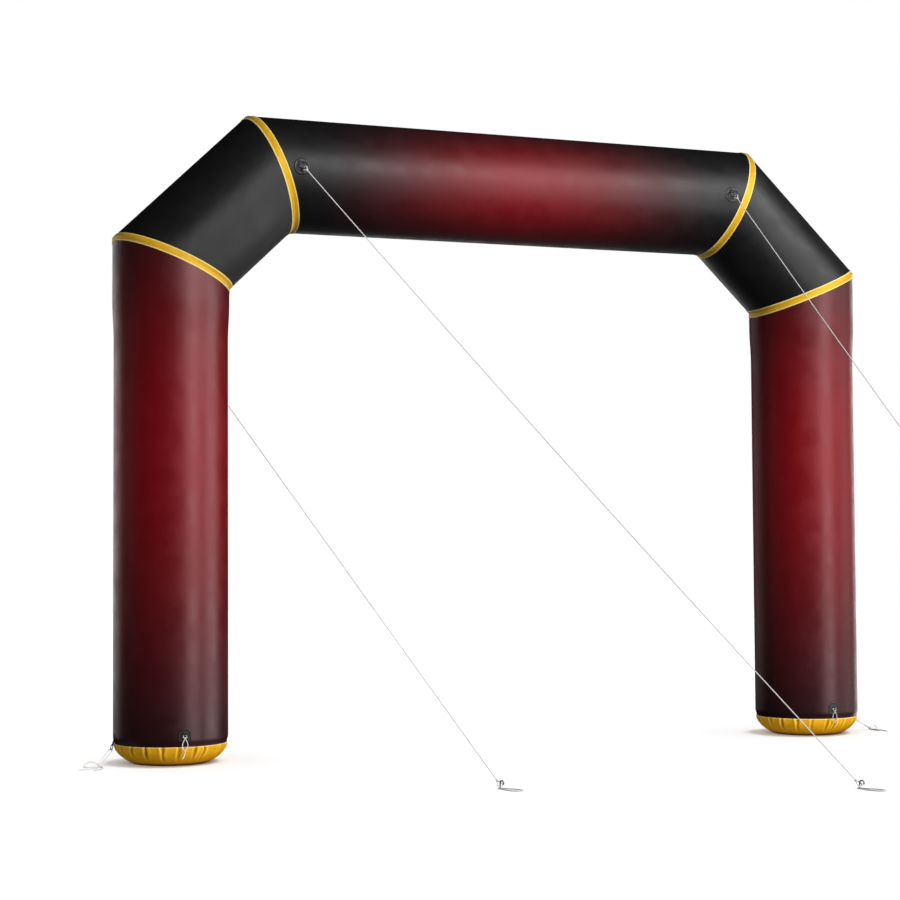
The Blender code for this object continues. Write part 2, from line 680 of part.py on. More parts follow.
# Knot place, the ways out of it to the ring, the loop with its two ways out, and the free ends.
TIES = {
    "left": (
        (0.530, -0.125),
        ((105, 28), (157, 28)),
        (
            (45, 35),
            ((0.575, -0.103, 0.036), (0.610, -0.093, 0.027), (0.630, -0.108, 0.009), (0.615, -0.138, 0.0046)),
            (-12, -12),
        ),
        (
            ((-64, -15), ((0.556, -0.185, 0.0043), (0.605, -0.238, 0.0043), (0.694, -0.267, 0.0043))),
            ((-118, -15), ((0.521, -0.205, 0.0043), (0.553, -0.285, 0.0043), (0.607, -0.337, 0.0043))),
        ),
    ),
    "right": (
        (0.582, -0.012),
        ((154, 30), (206, 30)),
        (
            (41, 38),
            ((0.618, 0.012, 0.034), (0.642, 0.010, 0.028), (0.650, -0.010, 0.010)),
            (-10, -12),
        ),
        (
            ((-62, -15), ((0.606, -0.080, 0.0043), (0.614, -0.150, 0.0043), (0.604, -0.215, 0.0043))),
            ((-112, -15), ((0.571, -0.070, 0.0043), (0.574, -0.115, 0.0043), (0.585, -0.150, 0.0043))),
        ),
    ),
}

for side, side_name in ((LEFT, "left"), (RIGHT, "right")):
    tube = (Vector((side * HALF_SPACING, 0, FOOT_PATCH_HEIGHT)), Z_AXIS, FRONT, LEG_RADIUS)
    low, across = add_ring_patch(
        f"foot_{side_name}", tube, arched_outline(), Vector(FOOT_RING_PULL),
        (FOOT_RING_RADIUS, FOOT_WIRE_RADIUS), (PATCH_CLOTH, PALE_STEEL),
    )
    add_foot_loop(side_name, low, tail=side == LEFT)
    ring_point, pull, normal = add_side_tab(side, side_name)
    add_tie(side, side_name, ring_point, pull, normal, *TIES[side_name])
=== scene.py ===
"""Inflatable arch: the dressed model. Units are metres, +Z is up and the front of the arch faces -Y."""

from math import atan2, cos, degrees, exp, hypot, pi, radians, sin, sqrt

import bmesh
import bpy
from mathutils import Matrix, Vector, noise


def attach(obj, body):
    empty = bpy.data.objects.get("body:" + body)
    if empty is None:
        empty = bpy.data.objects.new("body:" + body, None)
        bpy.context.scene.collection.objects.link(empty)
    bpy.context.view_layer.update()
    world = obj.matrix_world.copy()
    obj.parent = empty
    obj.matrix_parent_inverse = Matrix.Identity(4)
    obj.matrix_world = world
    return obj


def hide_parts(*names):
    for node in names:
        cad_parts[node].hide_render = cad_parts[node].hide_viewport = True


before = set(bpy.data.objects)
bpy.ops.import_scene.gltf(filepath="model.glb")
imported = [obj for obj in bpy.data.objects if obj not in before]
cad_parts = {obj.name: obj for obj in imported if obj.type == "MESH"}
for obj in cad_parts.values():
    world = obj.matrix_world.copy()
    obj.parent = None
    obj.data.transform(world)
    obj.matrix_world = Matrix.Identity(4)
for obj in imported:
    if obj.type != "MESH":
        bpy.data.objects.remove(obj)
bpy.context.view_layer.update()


# ---- Camera ----
# A long lens at standing height, out in front of the arch and well to its left. It looks up a little
# at the beam, and is rolled by a third of a degree.



def put_object(name, data):
    """An object in the scene, made from its data."""
    made = bpy.data.objects.new(name, data)
    bpy.context.scene.collection.objects.link(made)
    return made


camera_data = bpy.data.cameras.new("camera")
camera_data.sensor_width = 36.0
camera_data.lens = 79.89
camera_data.clip_end = 400.0
camera = put_object("camera", camera_data)
bpy.context.scene.camera = camera

yaw, pitch, roll = radians(21.469), radians(2.646), radians(-0.341)
looking = Vector((sin(yaw) * cos(pitch), cos(yaw) * cos(pitch), sin(pitch)))
level_right = Vector((cos(yaw), -sin(yaw), 0))
level_up = level_right.cross(looking)
camera_right = cos(roll) * level_right + sin(roll) * level_up
camera_up = cos(roll) * level_up - sin(roll) * level_right
turned = Matrix((camera_right, camera_up, -looking)).transposed().to_4x4()
camera.matrix_world = Matrix.Translation((-5.885, -13.802, 1.523)) @ turned


# ---- Guy ropes ----
# Three white ropes of 8 mm polyester, laid from three strands. Each is tied with an eye and a wrapped
# knot to a ring on the cloth, and with another eye to a hooked steel peg that is driven into the ground.

X_AXIS, Y_AXIS, Z_AXIS = Vector((1, 0, 0)), Vector((0, 1, 0)), Vector((0, 0, 1))
FRONT = -Y_AXIS
LEFT, RIGHT = -1, 1
SIDES = ((LEFT, "left"), (RIGHT, "right"))
GAP = 0.0003  # between pieces that touch
HALF_SPACING = 2.57  # from the middle of the arch to a leg's axis
LEG_RADIUS = 0.40
BEAM_RADIUS = 0.41
BEAM_HEIGHT = 4.18
PATCH_THICKNESS = 0.002
ROPE_RADIUS = 0.004
LAY_LENGTH = 8.0  # one turn of the strands, in rope radii
STRANDS = 3
STRAND_RELIEF = 0.10  # how much a strand stands out, as a share of the rope's radius
TIP_SHARE = 0.72  # how thick a rope's cut end is
ROPE_SIDES = 12
WIRE_SIDES = 14
WRAP_TURNS = 2.4  # of a wrapped knot
WRAP_STEPS = 44
RING_WIRE = 0.004
RING_RADIUS = 0.030
KEEPER_CLEARANCE = 0.0015  # between a ring's wire and its patch
TOP_EYE = (0.030, 45)  # an eye's length, and how many degrees it leans about its rope
PEG_EYE = (0.045, 35)
EYE_BEND = 1.25  # an eye's bend, as a share of its closest fit round the wire
PEG_EYE_REACH = 1.2  # how far that eye goes past the peg, on the level, as a share of the same
KNOT_HALF = 0.012
KNOT_RADIUS = 0.0095
PEG_RADIUS = 0.005
PEG_SHAFT = (0.75 * PEG_RADIUS, 0.010, 0.018, 0.026, 0.033)  # heights, from the ground to the hook
PEG_BEND_HEIGHT = 0.038
PEG_BEND_RADIUS = 0.014
PEG_EYE_HEIGHT = 0.027
PEG_LOOP_LENGTH = 0.190
PEG_LOOP_HALF_WIDTH = 0.038
PEG_LOOP_TURN = -67  # degrees from +X
# One side of that loop, as shares of its length and of its half width.
PEG_LOOP_SIDE = ((0.010, 0.22), (0.055, 0.34), (0.28, 0.66), (0.58, 0.95), (0.82, 0.92), (0.97, 0.55))


class Skin:
    """The points, faces and UV places of one piece, gathered part by part."""

    def __init__(self):
        self.points, self.faces, self.places, self.marks = [], [], [], []

    def add_rows(self, rows, places, around=False, along=False, mark=0):
        """Quads over rows of points. places(row, column) gives the UV place of each corner."""
        base, count = len(self.points), len(rows[0])
        for row in rows:
            self.points.extend(row)
        for r in range(len(rows) if along else len(rows) - 1):
            low, high = base + r * count, base + (r + 1) % len(rows) * count
            for c in range(count if around else count - 1):
                d = (c + 1) % count
                self.faces.append((low + c, low + d, high + d, high + c))
                corners = ((r, c), (r, c + 1), (r + 1, c + 1), (r + 1, c))
                self.places.append([places(*corner) for corner in corners])
                self.marks.append(mark)
        if around and not along:  # a lid at each end
            for r in (0, len(rows) - 1):
                start = base + r * count
                middle = sum(rows[r], Vector()) / count
                self.points.append(middle)
                for c in range(count):
                    self.faces.append((start + c, start + (c + 1) % count, len(self.points) - 1))
                    self.places.append([places(r, c), places(r, c + 1), places(r, c + 0.5)])
                    self.marks.append(mark)


def finish_piece(name, node, skin, materials, sharp=50):
    """One mesh object at the origin, its faces pointing out, that rides on the arch in its node's place."""
    mesh = bpy.data.meshes.new(name)
    mesh.from_pydata([tuple(p) for p in skin.points], [], skin.faces)
    uv = mesh.uv_layers.new(name="cloth")
    uv.data.foreach_set("uv", [x for face in skin.places for place in face for x in place])
    mesh.polygons.foreach_set("material_index", skin.marks)
    shape = bmesh.new()
    shape.from_mesh(mesh)
    bmesh.ops.remove_doubles(shape, verts=shape.verts, dist=1e-6)
    bmesh.ops.recalc_face_normals(shape, faces=shape.faces)
    shape.to_mesh(mesh)
    shape.free()
    mesh.shade_smooth()
    mesh.set_sharp_from_angle(angle=radians(sharp))
    for finish in materials:
        mesh.materials.append(finish)
    piece = put_object(name, mesh)
    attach(piece, "root")
    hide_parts(node)
    return piece


def angles_round(count):
    """Angles at even steps, once round."""
    return [2 * pi * k / count for k in range(count)]


def swung(angle, first, second):
    """The direction at an angle from the first direction towards the second."""
    return cos(angle) * first + sin(angle) * second


def eased(share):
    """A share from 0 to 1 with a gentle start and end."""
    share = min(1.0, max(0.0, share))
    return share * share * (3 - 2 * share)


def smooth_route(route, count):
    """Points along a smooth curve through the route's own points, as many between each pair."""
    route = [Vector(point) for point in route]
    spans = [sqrt((high - low).length) for low, high in zip(route, route[1:])]
    slopes = [(high - low) / span for low, high, span in zip(route, route[1:], spans)]
    tangents = [slopes[0]]
    for before, after, span_before, span_after in zip(slopes, slopes[1:], spans, spans[1:]):
        tangents.append((before * span_after + after * span_before) / (span_before + span_after))
    tangents.append(slopes[-1])
    points = []
    for step in range(count):
        place = step / (count - 1) * len(spans)
        i = min(int(place), len(spans) - 1)
        t = place - i
        leaving = spans[i] * t * (1 - t) ** 2 * tangents[i]
        arriving = spans[i] * t * t * (1 - t) * tangents[i + 1]
        points.append(route[i].lerp(route[i + 1], eased(t)) + leaving - arriving)
    return points


def evenly(points, step, closed=False):
    """The same line with points at one even distance."""
    line = points + points[:1] if closed else points
    travelled = [0.0]
    for low, high in zip(line, line[1:]):
        travelled.append(travelled[-1] + (high - low).length)
    pieces = max(2, round(travelled[-1] / step))
    even, i = [], 0
    for k in range(pieces + (0 if closed else 1)):
        target = travelled[-1] * k / pieces
        while i < len(line) - 2 and travelled[i + 1] < target:
            i += 1
        span = max(travelled[i + 1] - travelled[i], 1e-9)
        even.append(line[i].lerp(line[i + 1], (target - travelled[i]) / span))
    return even


def frames_along(points, closed=False):
    """A pair of directions across the line at each point, turning as little as they can."""
    count = len(points)
    if closed:
        pairs = [(points[i - 1], points[(i + 1) % count]) for i in range(count)]
    else:
        pairs = [(points[max(i - 1, 0)], points[min(i + 1, count - 1)]) for i in range(count)]
    tangents = [(after - before).normalized() for before, after in pairs]
    start = tangents[0].orthogonal().normalized()
    sideways = [start]
    for before, after in zip(tangents, tangents[1:]):
        sideways.append((before.rotation_difference(after) @ sideways[-1]).normalized())
    slip = 0.0
    if closed:
        arrived = tangents[-1].rotation_difference(tangents[0]) @ sideways[-1]
        slip = atan2(tangents[0].dot(arrived.cross(start)), arrived.dot(start))
    return [
        (Matrix.Rotation(slip * i / count, 3, tangent) @ side, tangent)
        for i, (side, tangent) in enumerate(zip(sideways, tangents))
    ]


def add_rope(skin, points, radius, closed=False):
    """A laid rope: the section has a lobe for each strand, and turns along the line."""
    line = evenly(points, radius, closed)
    total = len(line)
    turns = total * radius / (LAY_LENGTH * radius)
    if closed:
        turns = round(turns * STRANDS) / STRANDS
    rows = []
    for i, (side, tangent) in enumerate(frames_along(line, closed)):
        twist = 2 * pi * turns * i / total
        over = tangent.cross(side)
        from_end = total if closed else min(i, total - 1 - i)
        thickness = radius * min(1.0, TIP_SHARE + (1 - TIP_SHARE) * from_end)
        row = []
        for angle in angles_round(ROPE_SIDES):
            lobe = 1 - STRAND_RELIEF + STRAND_RELIEF * cos(STRANDS * angle)
            row.append(line[i] + thickness * lobe * swung(angle + twist, side, over))
        rows.append(row)
    skin.add_rows(rows, lambda r, c: (c / ROPE_SIDES, r * radius), around=True, along=closed)


def add_wire(skin, points, radius, closed=False):
    """A round steel wire along a line, with domed ends."""
    rows = []
    for point, (side, tangent) in zip(points, frames_along(points, closed)):
        over = tangent.cross(side)
        rows.append([point + radius * swung(a, side, over) for a in angles_round(WIRE_SIDES)])
    if not closed:
        for end, inner, row in ((points[0], points[1], rows[0]), (points[-1], points[-2], rows[-1])):
            out = (end - inner).normalized()
            dome = [[end + (p - end) * share + out * radius * rise for p in row]
                    for share, rise in ((0.92, 0.35), (0.62, 0.75))]
            rows = dome[::-1] + rows if row is rows[0] else rows + dome
    skin.add_rows(rows, lambda r, c: (c / WIRE_SIDES, r * radius), around=True, along=closed)


def add_wraps(skin, centre, along, half_length, outer, radius):
    """The turns of a knot: a rope wound round the standing part, its two ends tucked in."""
    along = along.normalized()
    side = along.orthogonal().normalized()
    over = along.cross(side)
    coil = []
    for k in range(WRAP_STEPS + 1):
        t = k / WRAP_STEPS
        tuck = 1.0 - 0.75 * max(0.0, abs(2 * t - 1) - 0.86) / 0.14
        at = centre + (2 * t - 1) * (half_length - radius) * along
        coil.append(at + (outer - radius) * tuck * swung(2 * pi * WRAP_TURNS * t, side, over))
    add_rope(skin, coil, radius)


# Node trees are written with these.


def add_node(tree, kind, settings=None, **inputs):
    """One node. An input is given by its name, or by its place as i0, i1 and so on."""
    made = tree.nodes.new(kind)
    for key, value in (settings or {}).items():
        setattr(made, key, value)
    for key, value in inputs.items():
        by_place = key[0] == "i" and key[1:].isdigit()
        plug = made.inputs[int(key[1:]) if by_place else key.replace("_", " ")]
        if isinstance(value, bpy.types.NodeSocket):
            tree.links.new(value, plug)
        else:
            plug.default_value = value
    return made


def reckon(tree, operation, a, b=0.0, clamp=False):
    """One Math node; its result."""
    settings = {"operation": operation, "use_clamp": clamp}
    return add_node(tree, "ShaderNodeMath", settings, i0=a, i1=b).outputs[0]


def times(tree, a, b, clamp=False):
    """Two values multiplied."""
    return reckon(tree, "MULTIPLY", a, b, clamp)


def between(tree, value, low, high, to_low=0.0, to_high=1.0):
    """A value carried smoothly from one range to another."""
    settings = {"interpolation_type": "SMOOTHSTEP"}
    names = {"i0": value, "i1": low, "i2": high, "i3": to_low, "i4": to_high}
    return add_node(tree, "ShaderNodeMapRange", settings, **names).outputs[0]


def tint(tree, share, first, second, blend="MIX"):
    """Two colours mixed by a share."""
    settings = {"data_type": "RGBA", "blend_type": blend}
    return add_node(tree, "ShaderNodeMix", settings, i0=share, i6=first, i7=second).outputs[2]


def start_group(name, inputs, outputs):
    """A shader node group with named inputs and outputs, each (name, socket kind, usual value)."""
    tree = bpy.data.node_groups.new(name, "ShaderNodeTree")
    for label, kind, usual in inputs:
        made = tree.interface.new_socket(name=label, in_out="INPUT", socket_type=kind)
        made.default_value = usual
    for label, kind in outputs:
        tree.interface.new_socket(name=label, in_out="OUTPUT", socket_type=kind)
    return tree, tree.nodes.new("NodeGroupInput").outputs, tree.nodes.new("NodeGroupOutput").inputs


def place_group(tree, group, **inputs):
    """A node group in use; its results."""
    return add_node(tree, "ShaderNodeGroup", {"node_tree": group}, **inputs).outputs


def object_place(tree):
    """The place on the arch, in metres."""
    return tree.nodes.new("ShaderNodeTexCoord").outputs["Object"]


def object_axis(tree, axis):
    """That place along one axis."""
    return add_node(tree, "ShaderNodeSeparateXYZ", i0=object_place(tree)).outputs[axis]


def cloth_axes(tree):
    """The place on a piece's own cloth or rope, along and across."""
    place = add_node(tree, "ShaderNodeUVMap", {"uv_map": "cloth"}).outputs[0]
    return add_node(tree, "ShaderNodeSeparateXYZ", i0=place).outputs


def clouds(tree, size, detail, roughness=0.5):
    """Soft uneven noise in patches of a size."""
    scale = reckon(tree, "DIVIDE", 1.0, size)
    return add_node(tree, "ShaderNodeTexNoise", Vector=object_place(tree), Detail=detail,
                    Roughness=roughness, Scale=scale).outputs[0]


def paint(tree, shader, colour):
    """Gives a surface its colour."""
    tree.links.new(colour, shader["Base Color"])


def add_bump(tree, shader, height, strength, distance):
    """Raises and lowers a surface by a height."""
    bump = add_node(tree, "ShaderNodeBump", Strength=strength, Distance=distance, Height=height)
    tree.links.new(bump.outputs[0], shader["Normal"])


def start_material(name, **constants):
    """A material with its shader, whose plain numbers stand on the shader's own sockets."""
    made = bpy.data.materials.new(name)
    made.use_nodes = True
    tree = made.node_tree
    shader = tree.nodes["Principled BSDF"]
    for key, value in constants.items():
        shader.inputs[key.replace("_", " ")].default_value = value
    return made, tree, shader.inputs


FLOAT = "NodeSocketFloat"

# Dirt and handling wear, used by every finish: broad soft patches, and a fine fleck.
handling, into, out = start_group(
    "handling",
    [("Patch size", FLOAT, 0.2), ("Fleck size", FLOAT, 0.01)],
    [("Patches", FLOAT), ("Flecks", FLOAT)],
)
broad = clouds(handling, into["Patch size"], 3.0, 0.55)
fine = clouds(handling, into["Fleck size"], 2.0, 0.6)
handling.links.new(between(handling, broad, 0.32, 0.68), out["Patches"])
handling.links.new(between(handling, fine, 0.30, 0.70), out["Flecks"])

# Rope fibres: fine yarns that run along the strands, and painted shade in the groove where two strands meet.
fibres, into, out = start_group(
    "rope fibres", [("Yarns", FLOAT, 24.0), ("Lay", FLOAT, 0.032)], [("Height", FLOAT), ("Groove", FLOAT)]
)
apart = cloth_axes(fibres)
lean = reckon(fibres, "DIVIDE", apart[1], into["Lay"])
yarn_turn = reckon(fibres, "ADD", times(fibres, apart[0], into["Yarns"]), times(fibres, lean, -12.0))
yarn = reckon(fibres, "SINE", times(fibres, yarn_turn, 2 * pi))
strand = reckon(fibres, "COSINE", times(fibres, apart[0], 2 * pi * STRANDS))
fibres.links.new(times(fibres, yarn, 0.5), out["Height"])
fibres.links.new(between(fibres, strand, -0.2, -1.0), out["Groove"])

white_rope, tree, shader = start_material("white rope", Roughness=0.78, Sheen_Weight=0.25,
                                          Specular_IOR_Level=0.25)
lay = place_group(tree, fibres, Lay=LAY_LENGTH * ROPE_RADIUS)
dirt = place_group(tree, handling, Patch_size=0.09, Fleck_size=0.004)
colour = tint(tree, times(tree, dirt["Patches"], 0.30), (0.93, 0.93, 0.92, 1), (0.74, 0.74, 0.72, 1))
# Painted shade: the grooves between the strands are coloured darker.
colour = tint(tree, times(tree, lay["Groove"], 0.35), colour, (0.45, 0.45, 0.43, 1))
paint(tree, shader, colour)
add_bump(tree, shader, lay["Height"], 0.5, 0.0004)


def start_steel(name, patch_size, fleck_size, colours, worn, bump, **constants):
    """Steel in two mixed tones, rougher where it is worn. Gives its material and what is in it."""
    made, tree, shader = start_material(name, **constants)
    dirt = place_group(tree, handling, Patch_size=patch_size, Fleck_size=fleck_size)
    colour = tint(tree, dirt["Patches"], *colours)
    paint(tree, shader, colour)
    tree.links.new(between(tree, dirt["Flecks"], 0.0, 1.0, *worn), shader["Roughness"])
    add_bump(tree, shader, dirt["Flecks"], *bump)
    return made, tree, shader, colour, dirt["Flecks"]


pegged_steel, tree, shader, colour, flecks = start_steel(
    "peg steel", 0.012, 0.0015, ((0.36, 0.37, 0.38, 1), (0.55, 0.56, 0.57, 1)), (0.34, 0.58), (0.35, 0.0003),
    Metallic=0.9, Roughness=0.42)
soil = times(tree, between(tree, object_axis(tree, 2), 0.020, 0.0), reckon(tree, "ADD", flecks, 0.3), True)
paint(tree, shader, tint(tree, soil, colour, (0.10, 0.085, 0.07, 1)))


def add_eye(skin, wire_point, along, across, shape, wire, reach):
    """An eye of rope round a wire, with its wrapped knot. Gives the point where the rope goes on."""
    length, lean = shape[0], radians(shape[1])
    along = along.normalized()
    across = (across - across.dot(along) * along).normalized()
    flat = swung(lean, along.cross(across), across)
    clear = wire + ROPE_RADIUS + GAP
    far = wire_point - clear * reach * along
    bend = clear * EYE_BEND
    half_width = bend / cos(lean)
    outline = [(bend * (1 - cos(radians(a))), sin(radians(a))) for a in (30, 60, 90)]
    outline += [(share * length, width) for share, width in ((0.62, 0.82), (0.86, 0.48), (1.0, 0.30))]
    knot = far + (length + 0.002) * along
    one = [far + s * along + q * half_width * flat for s, q in outline]
    other = [far + s * along - q * half_width * flat for s, q in outline]
    standing = [knot + 0.95 * KNOT_HALF * along, knot + 0.004 * along]
    route = smooth_route([*standing, *one[::-1], far, *other, knot + 0.005 * along], 90)
    add_rope(skin, route, ROPE_RADIUS)
    add_wraps(skin, knot, along, KNOT_HALF, KNOT_RADIUS, ROPE_RADIUS * 0.95)
    return knot + (KNOT_HALF + GAP) * along


def rope_piece(name, node, points, radius, closed=False):
    """A length of white rope. A closed one ends where it starts."""
    skin = Skin()
    add_rope(skin, points[:-1] if closed else points, radius, closed)
    return finish_piece(name, node, skin, [white_rope])


def tell_cord(points, far_end, pieces=()):
    """Works out a rope's length from its points and keeps nothing; far_end, how it ends, is not used."""
    length = sum((b - a).length for a, b in zip(points, points[1:]))
    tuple(points[0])
    list(pieces)


def peg_top(place):
    """Where the rope's eye meets a peg."""
    return Vector((*place, PEG_EYE_HEIGHT))


def hang_guy(letter, ring_point, ring_across, place, sag):
    """One guy rope with its two eyes, its peg and the loop of rope that lies at the peg."""
    node = f"guy_{letter}_"
    peg_point = peg_top(place)
    along = (peg_point - ring_point).normalized()
    away = Vector((along.x, along.y, 0)).normalized()

    top, low, steel = Skin(), Skin(), Skin()
    start = add_eye(top, ring_point, along, ring_across, TOP_EYE, RING_WIRE, 1.0)
    top_eye = finish_piece(node + "top_eye_rope", node + "top_eye", top, [white_rope])
    reach = PEG_EYE_REACH / hypot(along.x, along.y)
    end = add_eye(low, peg_point, -along, Z_AXIS, PEG_EYE, PEG_RADIUS, reach)
    peg_eye = finish_piece(node + "peg_eye_rope", node + "peg_eye", low, [white_rope])

    base = Vector((*place, 0))
    shaft = [base + height * Z_AXIS for height in PEG_SHAFT]
    bend = base + PEG_BEND_HEIGHT * Z_AXIS + PEG_BEND_RADIUS * away
    hook = [bend + PEG_BEND_RADIUS * swung(radians(a), away, Z_AXIS) for a in range(180, -31, -10)]
    add_wire(steel, shaft + hook, PEG_RADIUS)
    peg = finish_piece(node + "steel_peg", node + "peg", steel, [pegged_steel])

    way = swung(radians(PEG_LOOP_TURN), X_AXIS, Y_AXIS)
    near = Vector((*place, ROPE_RADIUS)) - (PEG_RADIUS + ROPE_RADIUS + GAP) * way
    middles = [near + share * PEG_LOOP_LENGTH * way for share, _ in PEG_LOOP_SIDE]
    asides = [width * PEG_LOOP_HALF_WIDTH * Z_AXIS.cross(way) for _, width in PEG_LOOP_SIDE]
    one = [middle + aside for middle, aside in zip(middles, asides)]
    other = [middle - aside for middle, aside in zip(middles, asides)]
    around_peg = smooth_route([near, *one, near + PEG_LOOP_LENGTH * way, *other[::-1], near], 121)
    loop = rope_piece(node + "peg_loop_rope", node + "peg_loop", around_peg, ROPE_RADIUS, closed=True)
    tell_cord(around_peg, "object")

    steps = [k / 60 for k in range(61)]
    line = [start.lerp(end, t) - 4 * sag * t * (1 - t) * Z_AXIS for t in steps]
    guy = rope_piece(node + "long_rope", node + "rope", line, ROPE_RADIUS)
    tell_cord(line, "knot", (top_eye, peg_eye, peg))


def ring_places(tube, pull, radius, wire, shift=0.0):
    """Where a kept ring hangs on a tube, which is given as a point on its axis, that axis, the way that
    the patch faces and the radius. The keeper sits up the pull's line from the patch's middle."""
    centre, axis, facing, tube_radius = tube
    pull = pull.normalized()
    back = shift * (pull.dot(facing) * facing - pull).normalized()
    tangent = axis.cross(facing)
    turn = back.dot(tangent) / tube_radius
    up = swung(turn, facing, tangent)
    surface = centre + back.dot(axis) * axis + (tube_radius + GAP + PATCH_THICKNESS) * up
    hinge = surface + (wire + KEEPER_CLEARANCE) * up
    return surface, up, hinge, pull, up.cross(pull).normalized(), hinge + 2 * radius * pull


# Each guy: its ring's name, its tube (as ring_places has it), its peg's place on the ground, the rope's
# sag and the keeper's shift.
inner_side = swung(radians(15), X_AXIS, Y_AXIS)
left_seat, right_seat = (Vector((side * 1.7275, 0, BEAM_HEIGHT)) for side in (LEFT, RIGHT))
leg_seat = Vector((-HALF_SPACING, 0, 2.583))
GUYS = {
    "a": ("beam_left", (left_seat, X_AXIS, FRONT, BEAM_RADIUS), (0.9438, -3.2576), 0.032, 0.030),
    "b": ("beam_right", (right_seat, X_AXIS, FRONT, BEAM_RADIUS), (3.180, -3.240), 0.032, 0.030),
    "c": ("leg", (leg_seat, Z_AXIS, inner_side, LEG_RADIUS), (-1.0652, -2.3599), 0.003, 0.0),
}
guy_rings = {}
for letter, (seat, tube, place, sag, shift) in GUYS.items():
    pull = peg_top(place) - (tube[0] + tube[3] * tube[2])
    found = ring_places(tube, pull, RING_RADIUS, RING_WIRE, shift)
    guy_rings[seat] = (tube, found)
    hang_guy(letter, found[5], found[4], place, sag)


# ---- Ties at the feet ----
# At the outer side of each foot a length of the same rope is doubled through a steel ring and knotted
# on the ground, with a bow beyond the knot and two free ends whose tips are melted round.

SIDE_WIRE = 0.003
SIDE_RING_RADIUS = 0.018
TIE_KNOT_SIZE = (0.013, 0.012, 0.0103)
TIE_START = 0.0105
TAB_HEIGHT = 0.136
TAB_STAND_OFF = 0.0105  # from the leg to the middle of the tab's roll


def leg_axis(side, height=0.0):
    """A point on a leg's axis."""
    return Vector((side * HALF_SPACING, 0, height))


def side_ring_places(side):
    """The hinge of the foot's side ring, its directions and its far point."""
    outward = side * X_AXIS
    hinge = leg_axis(side, TAB_HEIGHT) + (LEG_RADIUS + GAP + TAB_STAND_OFF) * outward
    pull = (0.34 * outward - 0.16 * Y_AXIS - 0.93 * Z_AXIS).normalized()
    twist = Matrix.Rotation(radians(-35 * side), 3, pull)
    across = twist @ (Y_AXIS - Y_AXIS.dot(pull) * pull).normalized()
    return hinge, pull, across, hinge + 2 * SIDE_RING_RADIUS * pull


def exit_way(side, azimuth, elevation):
    """A direction out of a knot, by its angle from straight outward and its angle above level."""
    azimuth, elevation = radians(azimuth), radians(elevation)
    level = cos(elevation)
    return Vector((side * level * cos(azimuth), level * sin(azimuth), sin(elevation)))


def add_overhand(skin, centre, size, radius):
    """A tight overhand knot: a trefoil of rope, pressed down onto the ground."""
    reach = Vector(((size[0] - radius) / 3, (size[1] - radius) / 3, (size[2] - radius) / 1.5))
    route = []
    for t in angles_round(72):
        x, y = sin(t) + 2 * sin(2 * t), cos(t) - 2 * cos(2 * t)
        route.append(centre + Vector((x, y, -1.5 * sin(3 * t))) * reach)
    add_rope(skin, route, radius, closed=True)


def lay_tie(side, name, knot_place, strands, loop, ends):
    """One tie: the doubled part through the ring, the knot, the bow and the two free ends."""
    node = f"tie_{name}_"
    foot = leg_axis(side)
    knot_centre = foot + Vector((side * knot_place[0], knot_place[1], TIE_KNOT_SIZE[2] + 0.0002))
    knotted = Skin()
    add_overhand(knotted, knot_centre, TIE_KNOT_SIZE, ROPE_RADIUS)
    knot = finish_piece(node + "overhand_knot", node + "knot", knotted, [white_rope])

    def leave_knot(angles):
        """The first two points of a rope that comes out of the knot."""
        way = exit_way(side, *angles)
        start = knot_centre + TIE_START * way
        return [start, start + 0.012 * way]

    def placed(route):
        """Points given from the foot, outward first."""
        return [foot + Vector((side * step[0], step[1], step[2])) for step in route]

    def lay(part, route, count, far_end, pieces=()):
        """One of the tie's ropes."""
        points = smooth_route(route, count)
        piece = rope_piece(f"{node}{part}_rope", node + part, points, ROPE_RADIUS)
        tell_cord(points, far_end, pieces)

    _, pull, across, ring_point = side_ring_places(side)
    normal = pull.cross(across)
    clear = SIDE_WIRE + ROPE_RADIUS + GAP
    back = (knot_centre - ring_point).normalized()
    first, second = (leave_knot(angles) for angles in strands)
    if (first[0] - second[0]).dot(normal) < 0:
        normal = -normal
    bight = [
        *first,
        ring_point + 0.024 * back + 0.011 * normal,
        ring_point + (clear + 0.0030) * normal,
        ring_point - (clear + 0.0004) * pull,
        ring_point - (clear + 0.0030) * normal,
        ring_point + 0.024 * back - 0.011 * normal,
        *second[::-1],
    ]
    lay("bight", bight, 65, "knot", [knot])
    loop_start, loop_route, loop_end = loop
    lay("loop", [*leave_knot(loop_start), *placed(loop_route), *leave_knot(loop_end)[::-1]], 55, "object")
    for letter, (angles, route) in zip("ab", ends):
        lay(f"end_{letter}", [*leave_knot(angles), *placed(route)], 33, "bare")


lay_tie(
    LEFT, "left", (0.530, -0.125), ((105, 28), (157, 28)),
    ((45, 35),
     ((0.575, -0.103, 0.036), (0.610, -0.093, 0.027), (0.630, -0.108, 0.009), (0.615, -0.138, 0.0046)),
     (-12, -12)),
    (((-64, -15), ((0.556, -0.185, 0.0043), (0.605, -0.238, 0.0043), (0.694, -0.267, 0.0043))),
     ((-118, -15), ((0.521, -0.205, 0.0043), (0.553, -0.285, 0.0043), (0.607, -0.337, 0.0043)))),
)
lay_tie(
    RIGHT, "right", (0.582, -0.012), ((154, 30), (206, 30)),
    ((41, 38), ((0.618, 0.012, 0.034), (0.642, 0.010, 0.028), (0.650, -0.010, 0.010)), (-10, -12)),
    (((-62, -15), ((0.606, -0.080, 0.0043), (0.614, -0.150, 0.0043), (0.604, -0.215, 0.0043))),
     ((-112, -15), ((0.571, -0.070, 0.0043), (0.574, -0.115, 0.0043), (0.585, -0.150, 0.0043)))),
)


# ---- Foot loops ----
# A thin white cord is threaded through the small ring low on the front of each leg and knotted into a
# loop, for pulling the foot straight. The left one has a short tail below its knot.

